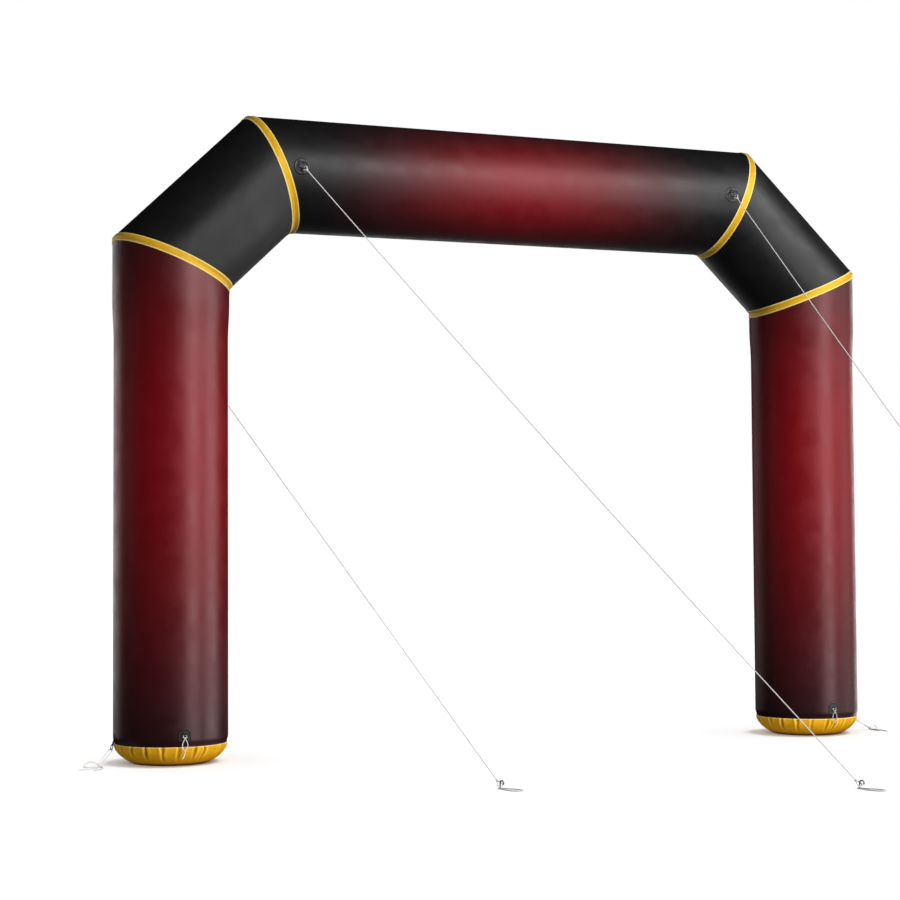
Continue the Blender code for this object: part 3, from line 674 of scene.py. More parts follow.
CORD_RADIUS = 0.003
FOOT_WIRE = 0.003
FOOT_RING_RADIUS = 0.012
FOOT_PATCH_HEIGHT = 0.222

foot_rings = {}
for side, name in SIDES:
    tube = (leg_axis(side, FOOT_PATCH_HEIGHT), Z_AXIS, FRONT, LEG_RADIUS)
    found = ring_places(tube, Vector((0, -0.36, -0.93)), FOOT_RING_RADIUS, FOOT_WIRE)
    foot_rings["foot_" + name] = (tube, found)
    ring_low = found[5]
    clear = FOOT_WIRE + CORD_RADIUS + GAP
    route = (
        (0.0035, -0.002, -0.0795), (0.016, -0.001, -0.066), (0.018, 0.000, -0.038), (0.009, 0.004, -0.014),
        (0.003, clear + 0.0016, 0.000), (0.000, 0.000, clear + 0.0005), (-0.003, -clear - 0.0016, 0.000),
        (-0.009, -0.005, -0.014), (-0.018, -0.002, -0.038), (-0.016, -0.002, -0.066),
        (-0.0035, -0.002, -0.0795),
    )
    points = smooth_route([ring_low + Vector(step) for step in route], 81)
    loop = rope_piece(f"foot_loop_{name}_cord", f"foot_loop_{name}", points, CORD_RADIUS)
    knot_centre = ring_low + Vector((0, -0.002, -0.0865))
    knotted = Skin()
    add_wraps(knotted, knot_centre, X_AXIS, 0.0075, 0.0063, CORD_RADIUS)
    knot = finish_piece(f"foot_knot_{name}_cord", f"foot_knot_{name}", knotted, [white_rope])
    tell_cord(points, "knot", (knot,))
    if side == LEFT:
        start = knot_centre - Vector((0, 0, 0.0068))
        steps = [(0, 0, 0), (-0.004, -0.001, -0.018), (-0.011, -0.002, -0.034), (-0.023, -0.003, -0.046)]
        points = smooth_route([start + Vector(step) for step in steps], 28)
        tail = rope_piece("foot_tail_left_cord", "foot_tail_left", points, CORD_RADIUS)
        tell_cord(points, "bare")


# ---- Tubes ----
# Legs, shoulders and beam are air-tight panels of satin coated cloth, welded into tubes and sewn end to
# end on a mitre. Air holds them round and tight; the cloth only puckers where it is gathered to a seam.
# Black cloth, with a deep red fade printed along the legs and in the middle of the beam. The beam's red is
# painted darker towards its top and bottom, as painted shade.

KNEE_HEIGHT = 3.50
CORNER_INSET = 0.71
SEAM_HEIGHT = 0.139
LEG_END_RADIUS = 0.390
FOOT_GATHER = 0.045  # how far up a leg is drawn in to its cap
KNEE_FLARE = (2.95, 0.27)  # where a leg starts to widen, and over what length
TUBE_SIDES = 192


def knee(side):
    """Where a leg's axis meets its shoulder's."""
    return leg_axis(side, KNEE_HEIGHT)


def corner(side):
    """Where a shoulder's axis meets the beam's."""
    return Vector((side * (HALF_SPACING - CORNER_INSET), 0, BEAM_HEIGHT))


def slant(side):
    """The way up a shoulder."""
    return (corner(side) - knee(side)).normalized()


def mitre(before, after):
    """The direction across the tube in its seam's plane, and how far the seam is stretched that way."""
    middle = (before + after).normalized()
    return middle.cross(Y_AXIS), 1.0 / before.dot(middle)


def pucker(around, distance, seed, reach, depth):
    """How far the cloth is drawn in near a seam: uneven folds that die away from it."""
    if distance > 3 * reach:
        return 0.0
    angle = around / BEAM_RADIUS
    spot = Vector((17 * cos(angle), 17 * sin(angle), seed))
    fold = abs(noise.noise(spot)) ** 0.7
    wide = noise.noise(0.22 * spot + Vector((5, 2, 7)))
    length = reach * (0.55 + 0.9 * abs(wide))
    return -depth * fold * (0.6 + wide) * exp(-((distance / length) ** 1.5))


def spread_rows(length, fine, coarse):
    """Distances along a tube, close together near both ends."""
    steps = [0.0]
    while steps[-1] < length:
        nearest = min(steps[-1], length - steps[-1])
        steps.append(steps[-1] + fine + (coarse - fine) * min(1.0, max(0.0, nearest - 0.05) / 0.45))
    return [s * length / steps[-1] for s in steps]


def tube_skin(low, low_mitre, high, high_mitre, axis, profile, puckers, seed):
    """A tube whose ends lie on their seams' planes. profile(height along) gives its radius."""
    skin = Skin()
    across = axis.cross(Y_AXIS)
    length = (high - low).length
    shares = [s / length for s in spread_rows(length, 0.012, 0.05)]
    rows = []
    for share in shares:
        row = []
        for a in angles_round(TUBE_SIDES):
            one, other = (
                end + BEAM_RADIUS * (stretch * cos(a) * way + sin(a) * Y_AXIS)
                for end, (way, stretch) in ((low, low_mitre), (high, high_mitre))
            )
            at = one.lerp(other, share)
            run = (other - one).length
            draw = pucker(a * BEAM_RADIUS, share * run, seed, *puckers[0])
            draw += pucker(a * BEAM_RADIUS, (1 - share) * run, seed + 9.1, *puckers[1])
            height = (at - low).dot(axis)
            row.append(at + (profile(height) - BEAM_RADIUS + draw) * swung(a, across, Y_AXIS).normalized())
        rows.append(row)
    arc = 2 * pi * BEAM_RADIUS / TUBE_SIDES
    skin.add_rows(rows, lambda r, c: (c * arc, shares[min(r, len(shares) - 1)] * length), around=True)
    return skin


# Satin coated cloth, shared by tubes, caps, tape and patches: a plain weave under the coating, and the
# slight slackness of a sewn panel.
coated, into, out = start_group(
    "coated cloth",
    [("Thread spacing", FLOAT, 0.0009), ("Slack size", FLOAT, 0.25)],
    [("Weave", FLOAT), ("Slack", FLOAT)],
)
apart = cloth_axes(coated)
pace = reckon(coated, "DIVIDE", 2 * pi, into["Thread spacing"])
warp, weft = (reckon(coated, "SINE", times(coated, apart[way], pace)) for way in (0, 1))
coated.links.new(times(coated, warp, weft), out["Weave"])
coated.links.new(clouds(coated, into["Slack size"], 2.0), out["Slack"])


def cloth_finish(tree, shader, colour, weave_depth, slack_depth, low, high, spacing=0.0009, slack_size=0.25):
    """Joins a colour to the weave, the slackness and the handling wear of a coated cloth."""
    cloth = place_group(tree, coated, Thread_spacing=spacing, Slack_size=slack_size)
    dirt = place_group(tree, handling, Patch_size=slack_size * 0.6, Fleck_size=0.006)
    worn = reckon(tree, "ADD", times(tree, dirt["Patches"], 0.7), times(tree, dirt["Flecks"], 0.3))
    tree.links.new(between(tree, worn, 0.0, 1.0, low, high), shader["Roughness"])
    shade = between(tree, worn, 0.0, 1.0, 0.95, 1.04)
    paint(tree, shader, tint(tree, 1.0, colour, shade, "MULTIPLY"))
    slack = add_node(tree, "ShaderNodeBump", Strength=0.6, Distance=slack_depth, Height=cloth["Slack"])
    weave = add_node(tree, "ShaderNodeBump", Strength=0.5, Distance=weave_depth, Height=cloth["Weave"],
                     Normal=slack.outputs[0])
    tree.links.new(weave.outputs[0], shader["Normal"])


BLACK = (0.0060, 0.0060, 0.0068, 1)
DEEP_RED = (0.165, 0.0018, 0.0052, 1)


def uneven(tree, value, amount, size):
    """A value with the uneven edge of a sprayed fade."""
    cloud = clouds(tree, size, 2.0)
    return reckon(tree, "ADD", value, times(tree, reckon(tree, "SUBTRACT", cloud, 0.5), amount))


leg_cloth, tree, shader = start_material("red to black leg cloth", Specular_IOR_Level=0.78,
                                         Specular_Tint=(1.0, 0.66, 0.68, 1.0))
height = uneven(tree, object_axis(tree, 2), 0.18, 0.9)
rise = between(tree, height, -0.25, 2.15)
fall = between(tree, height, 2.3, 4.2)
share = times(tree, rise, reckon(tree, "SUBTRACT", 1.0, fall), clamp=True)
cloth_finish(tree, shader, tint(tree, share, BLACK, DEEP_RED), 0.00008, 0.004, 0.32, 0.42)

beam_cloth, tree, shader = start_material("black beam cloth with a red middle")
along = reckon(tree, "ABSOLUTE", uneven(tree, object_axis(tree, 0), 0.15, 0.9))
height = object_axis(tree, 2)
# Painted shade: the red is coloured darker towards the beam's top and bottom, where the tube turns away from
# the light.
above, below = BEAM_HEIGHT + 0.42, BEAM_HEIGHT - 0.42
middle = times(tree, between(tree, height, above, above - 0.40, 0.30, 1.0),
               between(tree, height, below, below + 0.26, 0.50, 1.0))
share = times(tree, between(tree, along, 1.62, -0.10), middle)
cloth_finish(tree, shader, tint(tree, share, BLACK, DEEP_RED), 0.00008, 0.004, 0.40, 0.50)

shoulder_cloth, tree, shader = start_material("black shoulder cloth")
share = between(tree, object_axis(tree, 2), 3.2, 4.6, 0.0, 0.4)
cloth_finish(tree, shader, tint(tree, share, BLACK, (0.011, 0.011, 0.012, 1)), 0.00008, 0.004, 0.40, 0.50)

SMALL_PUCKER = (0.055, 0.0032)  # how far a fold reaches and how deep it is, under the tape
FOOT_PUCKER = (0.050, 0.0060)


def leg_radius(height):
    """Drawn in to the foot cap, straight for most of its length, a little wider at the knee."""
    flare = eased((height + SEAM_HEIGHT - KNEE_FLARE[0]) / KNEE_FLARE[1])
    radius = LEG_END_RADIUS + (LEG_RADIUS - LEG_END_RADIUS) * eased(height / FOOT_GATHER)
    return radius + (BEAM_RADIUS - LEG_RADIUS) * flare


def add_tube(name, node, cloth, slot, *shape):
    """One air-filled tube of cloth."""
    finish_piece(name, node, tube_skin(*shape), [cloth])


for side, name in SIDES:
    rising = slant(side)
    foot = leg_axis(side, SEAM_HEIGHT + GAP / 2)
    add_tube(f"leg_{name}_tube", f"leg_{name}", leg_cloth, "red_cloth", foot, (Z_AXIS.cross(Y_AXIS), 1.0),
             knee(side) - GAP * Z_AXIS, mitre(Z_AXIS, rising), Z_AXIS, leg_radius,
             (FOOT_PUCKER, SMALL_PUCKER), 3.0 + side)
    add_tube(f"shoulder_{name}_tube", f"shoulder_{name}", shoulder_cloth, "black_cloth",
             knee(side) + GAP * rising, mitre(Z_AXIS, rising), corner(side) - GAP * rising,
             mitre(rising, -side * X_AXIS), rising, lambda height: BEAM_RADIUS,
             (SMALL_PUCKER, SMALL_PUCKER), 11.0 + side)
add_tube("beam_tube", "beam", beam_cloth, "red_cloth", corner(LEFT) + GAP * X_AXIS,
         mitre(slant(LEFT), X_AXIS), corner(RIGHT) - GAP * X_AXIS, mitre(X_AXIS, -slant(RIGHT)), X_AXIS,
         lambda height: BEAM_RADIUS, (SMALL_PUCKER, SMALL_PUCKER), 21.0)


# ---- Tape over the seams ----
# Golden tape, 65 mm wide, covers the four mitred seams. It is coated cloth with both edges turned under,
# so they stand up as two soft rolls, and a row of pale stitches runs along each edge.

BAND_WIDTH = 0.065
HEM = 0.009
TAPE_LIFT = 0.0006
TAPE_THICKNESS = 0.0012
ROLL_RISE = 0.0015  # how much higher the rolled edges stand
EDGE_ROUND = 0.0009
BAND_SIDES = 288

golden_tape, tree, shader = start_material("golden tape", Specular_IOR_Level=0.85,
                                           Specular_Tint=(1.0, 0.92, 0.32, 1.0), Sheen_Weight=0.05)
from_edge = reckon(tree, "SUBTRACT", BAND_WIDTH / 2, reckon(tree, "ABSOLUTE", cloth_axes(tree)[1]))
# Painted highlight: the rolled edges are coloured paler than the rest of the tape.
hem_highlight_share = between(tree, from_edge, HEM * 1.25, HEM * 0.75)
colour = tint(tree, hem_highlight_share, (0.66, 0.355, 0.012, 1), (0.90, 0.70, 0.20, 1))
cloth_finish(tree, shader, colour, 0.0002, 0.0012, 0.36, 0.50, spacing=0.0014, slack_size=0.05)


def spin_thread(name, sheen, *colours):
    """Sewing thread, with a fine fleck."""
    made, tree, shader = start_material(name, Roughness=0.6, Sheen_Weight=sheen)
    flecks = place_group(tree, handling, Patch_size=0.02, Fleck_size=0.0006)["Flecks"]
    paint(tree, shader, tint(tree, flecks, *colours))
    add_bump(tree, shader, flecks, 0.4, 0.0002)
    return made


pale_thread = spin_thread("pale thread", 0.3, (0.92, 0.74, 0.30, 1), (0.78, 0.56, 0.16, 1))
dark_thread = spin_thread("dark thread", 0.2, (0.030, 0.030, 0.032, 1), (0.015, 0.015, 0.016, 1))


def stitch_tree():
    """A Geometry Nodes tree: one small rounded stitch at even steps along each line, lying on the cloth."""
    tree = bpy.data.node_groups.new("row of stitches", "GeometryNodeTree")
    sockets = [
        ("Lines", "INPUT", "NodeSocketGeometry", None), ("Step", "INPUT", FLOAT, 0.006),
        ("Stitch length", "INPUT", FLOAT, 0.004), ("Thread", "INPUT", FLOAT, 0.0008),
        ("Seed", "INPUT", "NodeSocketInt", 5), ("Thread finish", "INPUT", "NodeSocketMaterial", None),
        ("Stitches", "OUTPUT", "NodeSocketGeometry", None),
    ]
    for label, way, kind, usual in sockets:
        made = tree.interface.new_socket(name=label, in_out=way, socket_type=kind)
        if usual is not None:
            made.default_value = usual
    into, out = tree.nodes.new("NodeGroupInput").outputs, tree.nodes.new("NodeGroupOutput").inputs

    def step(kind, settings=None, **inputs):
        """One node of this tree; its first result."""
        return add_node(tree, kind, settings, **inputs).outputs[0]

    lines = step("GeometryNodeMeshToCurve", Mesh=into["Lines"])
    even = step("GeometryNodeResampleCurve", {"mode": "LENGTH"}, Curve=lines, Length=into["Step"])
    points = add_node(tree, "GeometryNodeCurveToPoints", {"mode": "EVALUATED"}, Curve=even).outputs
    thread = step("GeometryNodeMeshIcoSphere", Radius=1.0, Subdivisions=1)
    size = step("ShaderNodeCombineXYZ", X=into["Thread"], Y=into["Thread"],
                Z=times(tree, into["Stitch length"], 0.5))
    varied = add_node(tree, "FunctionNodeRandomValue", {"data_type": "FLOAT"}, i2=0.88, i3=1.10,
                      Seed=into["Seed"]).outputs[1]
    scale = step("ShaderNodeVectorMath", {"operation": "SCALE"}, i0=size, Scale=varied)
    turn = step("FunctionNodeAlignRotationToVector", {"axis": "Z"}, Vector=points["Tangent"])
    placed = step("GeometryNodeInstanceOnPoints", Points=points[0], Instance=thread, Rotation=turn,
                  Scale=scale)
    smooth = step("GeometryNodeSetShadeSmooth", Geometry=step("GeometryNodeRealizeInstances", i0=placed))
    sewn = step("GeometryNodeSetMaterial", Geometry=smooth, Material=into["Thread finish"])
    tree.links.new(sewn, out[0])
    return tree


stitches = stitch_tree()


def sew(name, lines, thread, slot, step=0.0085, length=0.0062, width=0.0009):
    """Rows of stitches along lines of points. A line whose ends meet is closed."""
    mesh = bpy.data.meshes.new(name)
    points, edges = [], []
    for line in lines:
        base = len(points)
        closed = (line[0] - line[-1]).length < 1e-6
        kept = line[:-1] if closed else line
        points.extend(tuple(p) for p in kept)
        edges.extend((base + i, base + i + 1) for i in range(len(kept) - 1))
        if closed:
            edges.append((base + len(kept) - 1, base))
    mesh.from_pydata(points, edges, [])
    guide = put_object(name + "_guide", mesh)
    sewing = guide.modifiers.new("stitches", "NODES")
    sewing.node_group = stitches
    values = {"Step": step, "Stitch length": length, "Thread": width, "Seed": 5, "Thread finish": thread}
    for item in stitches.interface.items_tree:
        if item.in_out == "INPUT" and item.name in values:
            sewing[item.identifier] = values[item.name]
    bpy.context.view_layer.update()
    made = bpy.data.meshes.new_from_object(guide.evaluated_get(bpy.context.evaluated_depsgraph_get()))
    guide.modifiers.remove(sewing)
    bpy.data.objects.remove(guide)
    piece = put_object(name, made)
    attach(piece, "root")
    return piece


def band_point(point, before, after, a, s, height):
    """A place on the tape: the angle round the tube, the distance across the tape and the height."""
    across, stretch = mitre(before, after)
    low, high = (swung(a, way.cross(Y_AXIS), Y_AXIS).normalized() for way in (before, after))
    seam = point + BEAM_RADIUS * (stretch * cos(a) * across + sin(a) * Y_AXIS)
    share = min(1.0, max(0.0, 0.5 + s / 0.012))
    radial = low.lerp(high, share).normalized()
    return seam + s * (after if s > 0 else before) + height * radial


def add_tape(name, node, point, before, after, seed):
    """The tape round one seam, sewn along both edges."""
    half = BAND_WIDTH / 2
    across_steps = [-1, -0.985, -0.95, -0.88, -0.80, -0.735, -0.70, -0.5, -0.25, -0.1, 0]
    across_steps += [-s for s in across_steps[-2::-1]]
    turn = angles_round(BAND_SIDES)

    def on_seam(a, s, height):
        """A place on this tape, as in band_point."""
        return band_point(point, before, after, a, s, height)

    rows = []
    for a in turn:
        wave = 0.0007 * noise.noise(Vector((9 * cos(a), 9 * sin(a), seed)))
        outer, inner = [], []
        for share in across_steps:
            from_edge = (1 - abs(share)) * half
            hem = sin(pi * from_edge / HEM) ** 0.6 if from_edge < HEM else 0.0
            edge = min(1.0, from_edge / EDGE_ROUND)
            pull = 0.0004 * noise.noise(Vector((60 * cos(a), 60 * sin(a), seed + share)))
            lift = (wave + pull) * edge * (1 - abs(share)) ** 0.3
            top = GAP + TAPE_LIFT + TAPE_THICKNESS * edge + ROLL_RISE * hem + lift
            outer.append(on_seam(a, share * half, max(top, GAP + 0.0004)))
            inner.append(on_seam(a, share * half, GAP))
        rows.append(outer + inner[::-1])
    section = across_steps + across_steps[::-1]
    arc = 2 * pi * BEAM_RADIUS / BAND_SIDES
    skin = Skin()
    skin.add_rows(rows, lambda r, c: (r * arc, section[c % len(section)] * half), around=True, along=True)
    tape = finish_piece(name, node, skin, [golden_tape], sharp=70)
    middle = [on_seam(a, 0, 0) for a in turn]
    lines = [[on_seam(a, edge * (half - HEM - 0.0015), GAP + 0.0019) for a in turn + turn[:1]]
             for edge in (-1, 1)]
    thread = sew(name + "_stitches", lines, pale_thread, "gold_cloth")


for side, name in SIDES:
    add_tape(f"knee_tape_{name}", f"knee_band_{name}",
             knee(side), Z_AXIS, slant(side), 31.0 + side)
    add_tape(f"corner_tape_{name}", f"corner_band_{name}",
             corner(side), slant(side), -side * X_AXIS, 41.0 + side)


# ---- Foot caps ----
# The lower end of each leg is closed by a shallow bowl of golden coated cloth. Its rim is gathered in
# uneven pleats and sewn to the leg with one pale row of stitches; below it is flat where it stands.

SEAM_RADIUS = 0.392
SOLE_RADIUS = 0.262
BACK_PLEATS = 16
# The pleats at the front of each cap, in degrees from +X. The ones at the back are spaced unevenly.
FRONT_PLEATS = {
    LEFT: (-147, -130, -112, -95, -78, -67, -46),
    RIGHT: (-167, -151, -132, -115, -97, -87, -75, -60),
}
FOLD = (0.0115, 0.0, 0.0086)  # how deep a pleat's fold is, how far from its middle, and how wide
RIDGE = (0.0042, 0.0234, 0.0123)  # the ridges beside it, in the same way
LIT_EDGE = (0.75, 0.0175, 0.0060)  # the painted highlight line between them, its depth as a share of colour
CAP_ROWS = 44
CAP_STITCHES = (0.0026, 0.0055)  # how far outside the seam's radius, and how far below the seam
STEPS_A_PLEAT = 22

golden_cap, tree, shader = start_material("golden cap cloth", Specular_IOR_Level=0.55,
                                          Specular_Tint=(1.0, 0.90, 0.30, 1.0))
height = object_axis(tree, 2)
crease = add_node(tree, "ShaderNodeAttribute", {"attribute_name": "crease"}).outputs["Fac"]
# Painted shade: the cloth is coloured darker and more orange towards the bottom.
colour = tint(tree, between(tree, height, 0.080, 0.0), (0.67, 0.32, 0.005, 1), (0.65, 0.24, 0.003, 1))
# Painted shade in the folds of the pleats, and a painted highlight on the line beside each.
colour = tint(tree, times(tree, crease, 0.8, clamp=True), colour, (0.24, 0.085, 0.002, 1))
colour = tint(tree, times(tree, crease, -1.0, clamp=True), colour, (0.98, 0.66, 0.06, 1))
# Painted shade: the lowest edge, where it meets the ground, is coloured near black.
colour = tint(tree, between(tree, height, 0.028, 0.005, 0.0, 0.95), colour, (0.028, 0.011, 0.002, 1))
# Painted highlight: a pale band just under the seam.
rim = between(tree, height, SEAM_HEIGHT - 0.009, SEAM_HEIGHT - 0.004)
colour = tint(tree, times(tree, rim, 0.8), colour, (0.93, 0.66, 0.18, 1))
cloth_finish(tree, shader, colour, 0.00015, 0.0015, 0.36, 0.52, spacing=0.0011, slack_size=0.06)


def pleat_turns(side):
    """The angle of each pleat round the cap, and of the first once more."""
    front = [radians(angle) for angle in FRONT_PLEATS[side]]
    widths = [1 + 0.28 * sin(2.4 * i) + 0.14 * sin(5.3 * i + 1) for i in range(BACK_PLEATS + 1)]
    rest = 2 * pi - (front[-1] - front[0])
    turns = list(front)
    for width in widths:
        turns.append(turns[-1] + rest * width / sum(widths))
    return turns


def bulge(offset, shape):
    """A soft line of a shape's strength, at its distance on both sides of a pleat."""
    strength, distance, width = shape
    return strength * exp(-(((abs(offset) - distance) / width) ** 2))


for side, name in SIDES:
    foot = leg_axis(side)
    spots = []
    pleats = pleat_turns(side)
    for i, (start, following) in enumerate(zip(pleats, pleats[1:])):
        width = following - start
        depth = 0.75 + 0.25 * sin(1.7 * i)
        reach = 0.55 + 0.45 * (0.5 + 0.5 * sin(3.1 * i + 0.7))
        for k in range(STEPS_A_PLEAT):
            share = k / STEPS_A_PLEAT
            shaped = share if share < 0.5 else share - 1.0
            spots.append((start + share * width, shaped * width * SEAM_RADIUS, depth, reach))
    rows, fold_shades_and_highlights = [], []
    for r in range(CAP_ROWS + 1):
        rise = radians(90) * r / CAP_ROWS
        radius = SOLE_RADIUS + (SEAM_RADIUS - SOLE_RADIUS) * sin(rise) ** 1.8
        height = (SEAM_HEIGHT - GAP / 2) * (1 - cos(rise))
        row = []
        for a, offset, depth, reach in spots:
            gather = eased((degrees(rise) - 25 - 20 * (1 - reach)) / 45)
            bend = a + 0.010 * sin(7 * rise + 5 * depth) * gather
            draw = gather * depth * (bulge(offset, RIDGE) - bulge(offset, FOLD))
            swell = 0.0010 * noise.noise(Vector((6 * cos(a), 6 * sin(a), 40 * height)))
            out = radius + draw + swell * sin(rise)
            row.append(foot + height * Z_AXIS + out * swung(bend, X_AXIS, Y_AXIS))
            # Painted shade and highlight for each point: dark in a pleat's fold, paler on the line beside it.
            shade = min(1.0, 1.1 * bulge(offset, (1.0, *FOLD[1:]))) - bulge(offset, LIT_EDGE)
            fold_shades_and_highlights.append(shade * gather * depth)
        rows.append(row)
    arc = 2 * pi * SEAM_RADIUS / len(spots)
    skin = Skin()
    skin.add_rows(rows, lambda r, c: (c * arc, r * 0.0046), around=True)
    cap = finish_piece(f"foot_cap_{name}_cloth", f"foot_cap_{name}", skin, [golden_cap], 75)
    mark = cap.data.attributes.new("crease", "FLOAT", "POINT")
    for i, value in enumerate(fold_shades_and_highlights):
        mark.data[i].value = value
    seam = foot + (SEAM_HEIGHT - CAP_STITCHES[1]) * Z_AXIS
    turn = [2 * pi * k / 160 for k in range(161)]
    line = [seam + (SEAM_RADIUS + CAP_STITCHES[0]) * swung(a, X_AXIS, Y_AXIS) for a in turn]
    sew(f"foot_cap_{name}_stitches", [line], pale_thread, "gold_cloth", step=0.0075, length=0.0056)


# ---- Ring patches ----
# Black patches of the same cloth are welded to the tubes where a ring has to hold. A strap of webbing
# lies across each patch, sewn at both ends, and the ring turns in the tunnel under it.

PATCH_RADIUS = 0.060
FOOT_PATCH_RADIUS = 0.045
FOOT_PATCH_SKIRT = 0.050  # how far its straight part goes down from the middle

foot_patch_cloth, tree, shader = start_material("black foot patch cloth", Specular_IOR_Level=0.52)
cloth_finish(tree, shader, (0.0045, 0.0045, 0.0050, 1), 0.00015, 0.0008, 0.40, 0.55, spacing=0.0010,
             slack_size=0.03)
guy_patch_cloth, tree, shader = start_material("black satin patch cloth", Specular_IOR_Level=0.62)
cloth_finish(tree, shader, (0.0060, 0.0060, 0.0065, 1), 0.00015, 0.0008, 0.36, 0.48, spacing=0.0010,
             slack_size=0.03)

webbing, tree, shader = start_material("black webbing", Roughness=0.72, Sheen_Weight=0.3,
                                       Specular_IOR_Level=0.3)
apart = cloth_axes(tree)
rib, cross_rib = (reckon(tree, "SINE", times(tree, apart[way], 2 * pi / spacing))
                  for way, spacing in ((1, 0.0018), (0, 0.0030)))
dirt = place_group(tree, handling, Patch_size=0.02, Fleck_size=0.001)
colour = tint(tree, dirt["Patches"], (0.010, 0.010, 0.011, 1), (0.020, 0.020, 0.022, 1))
paint(tree, shader, colour)
add_bump(tree, shader, times(tree, rib, cross_rib), 0.6, 0.0004)

dark_steel = start_steel("dark ring steel", 0.010, 0.001, ((0.075, 0.082, 0.095, 1), (0.14, 0.15, 0.17, 1)),
                         (0.26, 0.44), (0.25, 0.0002), Metallic=0.95, Roughness=0.34)[0]
pale_steel = start_steel("pale ring steel", 0.008, 0.001, ((0.84, 0.76, 0.56, 1), (0.64, 0.57, 0.40, 1)),
                         (0.24, 0.42), (0.25, 0.0002), Metallic=0.85, Roughness=0.32)[0]


def round_edge(sides):
    """The edge of a round patch, as (along the tube, round the tube) for a radius of one."""
    return [(cos(a), sin(a)) for a in angles_round(sides)]


def arched_edge(sides):
    """A half circle above a short straight skirt, with rounded lower corners."""
    skirt, soft = FOOT_PATCH_SKIRT / FOOT_PATCH_RADIUS, 0.25
    points = []
    for x, y in round_edge(sides):
        if x >= 0:
            points.append((x, y))
        else:
            power = 2 / (2 - 2 * (1 - soft) * min(1.0, -x * 4))
            norm = (abs(x) ** (2 * power) + abs(y) ** (2 * power)) ** (1 / (2 * power))
            points.append((x / norm * skirt, y / norm))
    return points


def add_ring(name, node, hinge, pull, across, radius, wire, steel, steps):
    """A closed steel ring that hangs from its hinge."""
    middle = hinge + radius * pull
    skin = Skin()
    add_wire(skin, [middle + radius * swung(a, pull, across) for a in angles_round(steps)], wire, closed=True)
    finish_piece(name, node, skin, [steel])


# From a patch's middle to its welded edge and back below: (share of its radius, share of its thickness).
PATCH_PROFILE = (
    (0.02, 1.0), (0.25, 1.0), (0.50, 1.0), (0.70, 1.0), (0.78, 0.95), (0.82, 1.35), (0.88, 1.50),
    (0.93, 1.25), (0.97, 0.80), (0.995, 0.35), (1.0, 0.1), (0.995, 0.0), (0.6, 0.0), (0.02, 0.0),
)
STRAP_HALF = 0.019  # half its length across the patch
STRAP_THICKNESS = 0.0012
STRAP_WALL = 0.0020  # where it goes over the ring's wire
TUNNEL_CLEARANCE = 0.0008  # round the wire
WELD_SHARE = 0.87  # where the stitches run, as a share of the patch's radius
FINE_STITCH = {"step": 0.0042, "length": 0.0032}


def dress_patch(node, rests_on, seat, edge, size, cloth, radius, wire, steel):
    """A patch with its keeper strap, its stitches and its ring."""
    (centre, axis, facing, tube_radius), (surface, up, hinge, pull, across, _) = seat
    tangent = axis.cross(facing)

    def on_tube(share, spot, height):
        """A place on the patch: a share of the way to a spot on its edge, and the height."""
        angle = share * size * spot[1] / tube_radius
        return centre + share * size * spot[0] * axis + (tube_radius + height) * swung(angle, facing, tangent)

    def places(r, c):
        """The UV place: across and along the tube."""
        x, y = edge[int(c) % len(edge)]
        reached = PATCH_PROFILE[min(r, len(PATCH_PROFILE) - 1)][0] * size
        return (reached * y, reached * x)

    rows = [[on_tube(share, spot, GAP + PATCH_THICKNESS * rise) for spot in edge]
            for share, rise in PATCH_PROFILE]

    skin = Skin()
    skin.add_rows(rows, places, around=True)

    # The strap: flat on the patch, over the ring's wire, and flat again.
    sideways = up.cross(across)
    bore = wire + TUNNEL_CLEARANCE
    crown = wire + KEEPER_CLEARANCE + 0.0002
    half_length = radius * 0.36
    flat = min(1.0, size / PATCH_RADIUS)
    arch = [radians(a) for a in range(0, 181, 15)]
    outer, inner = ([(-bend * cos(a), crown + bend * sin(a)) for a in arch]
                    for bend in (bore + STRAP_WALL, bore))
    top = [(STRAP_HALF, STRAP_THICKNESS), (0.014, STRAP_THICKNESS), (bore + 0.0030, STRAP_WALL)]
    left_out = [(-x * flat, y) for x, y in top]
    right_out = [(x * flat, y) for x, y in top[::-1]]
    right_under = [(STRAP_HALF * flat, 0.0001), (bore, 0.0001)]
    left_under = [(-x, y) for x, y in right_under[::-1]]
    section = left_out + outer + right_out + right_under + inner[::-1] + left_under
    ends = []
    for share in (-1.0, -0.93, -0.5, 0.0, 0.5, 0.93, 1.0):
        ease = 1.0 if abs(share) < 0.95 else 0.94
        end = surface + share * half_length * across
        ends.append([end + x * sideways + (y * ease) * up for x, y in section])
    skin.add_rows(ends, lambda r, c: (c % len(section) * 0.002, r * half_length / 3), around=True, mark=1)
    patch = finish_piece(node + "_patch_cloth", node + "_patch", skin, [cloth, webbing], 60)

    line = [on_tube(WELD_SHARE, spot, GAP + PATCH_THICKNESS * 1.2) for spot in edge]
    lines = [line + line[:1]]
    for place in (-0.0155, -0.0180, 0.0155, 0.0180):
        start = surface + place * flat * sideways - 0.8 * half_length * across + 0.0014 * up
        lines.append([start, start + 1.6 * half_length * across])
    thread = sew(node + "_patch_stitches", lines, dark_thread, "patch_cloth", width=0.0005,
                 **FINE_STITCH)
    add_ring(node + "_ring_steel", node + "_ring", hinge, pull, across, radius, wire, steel, 48)


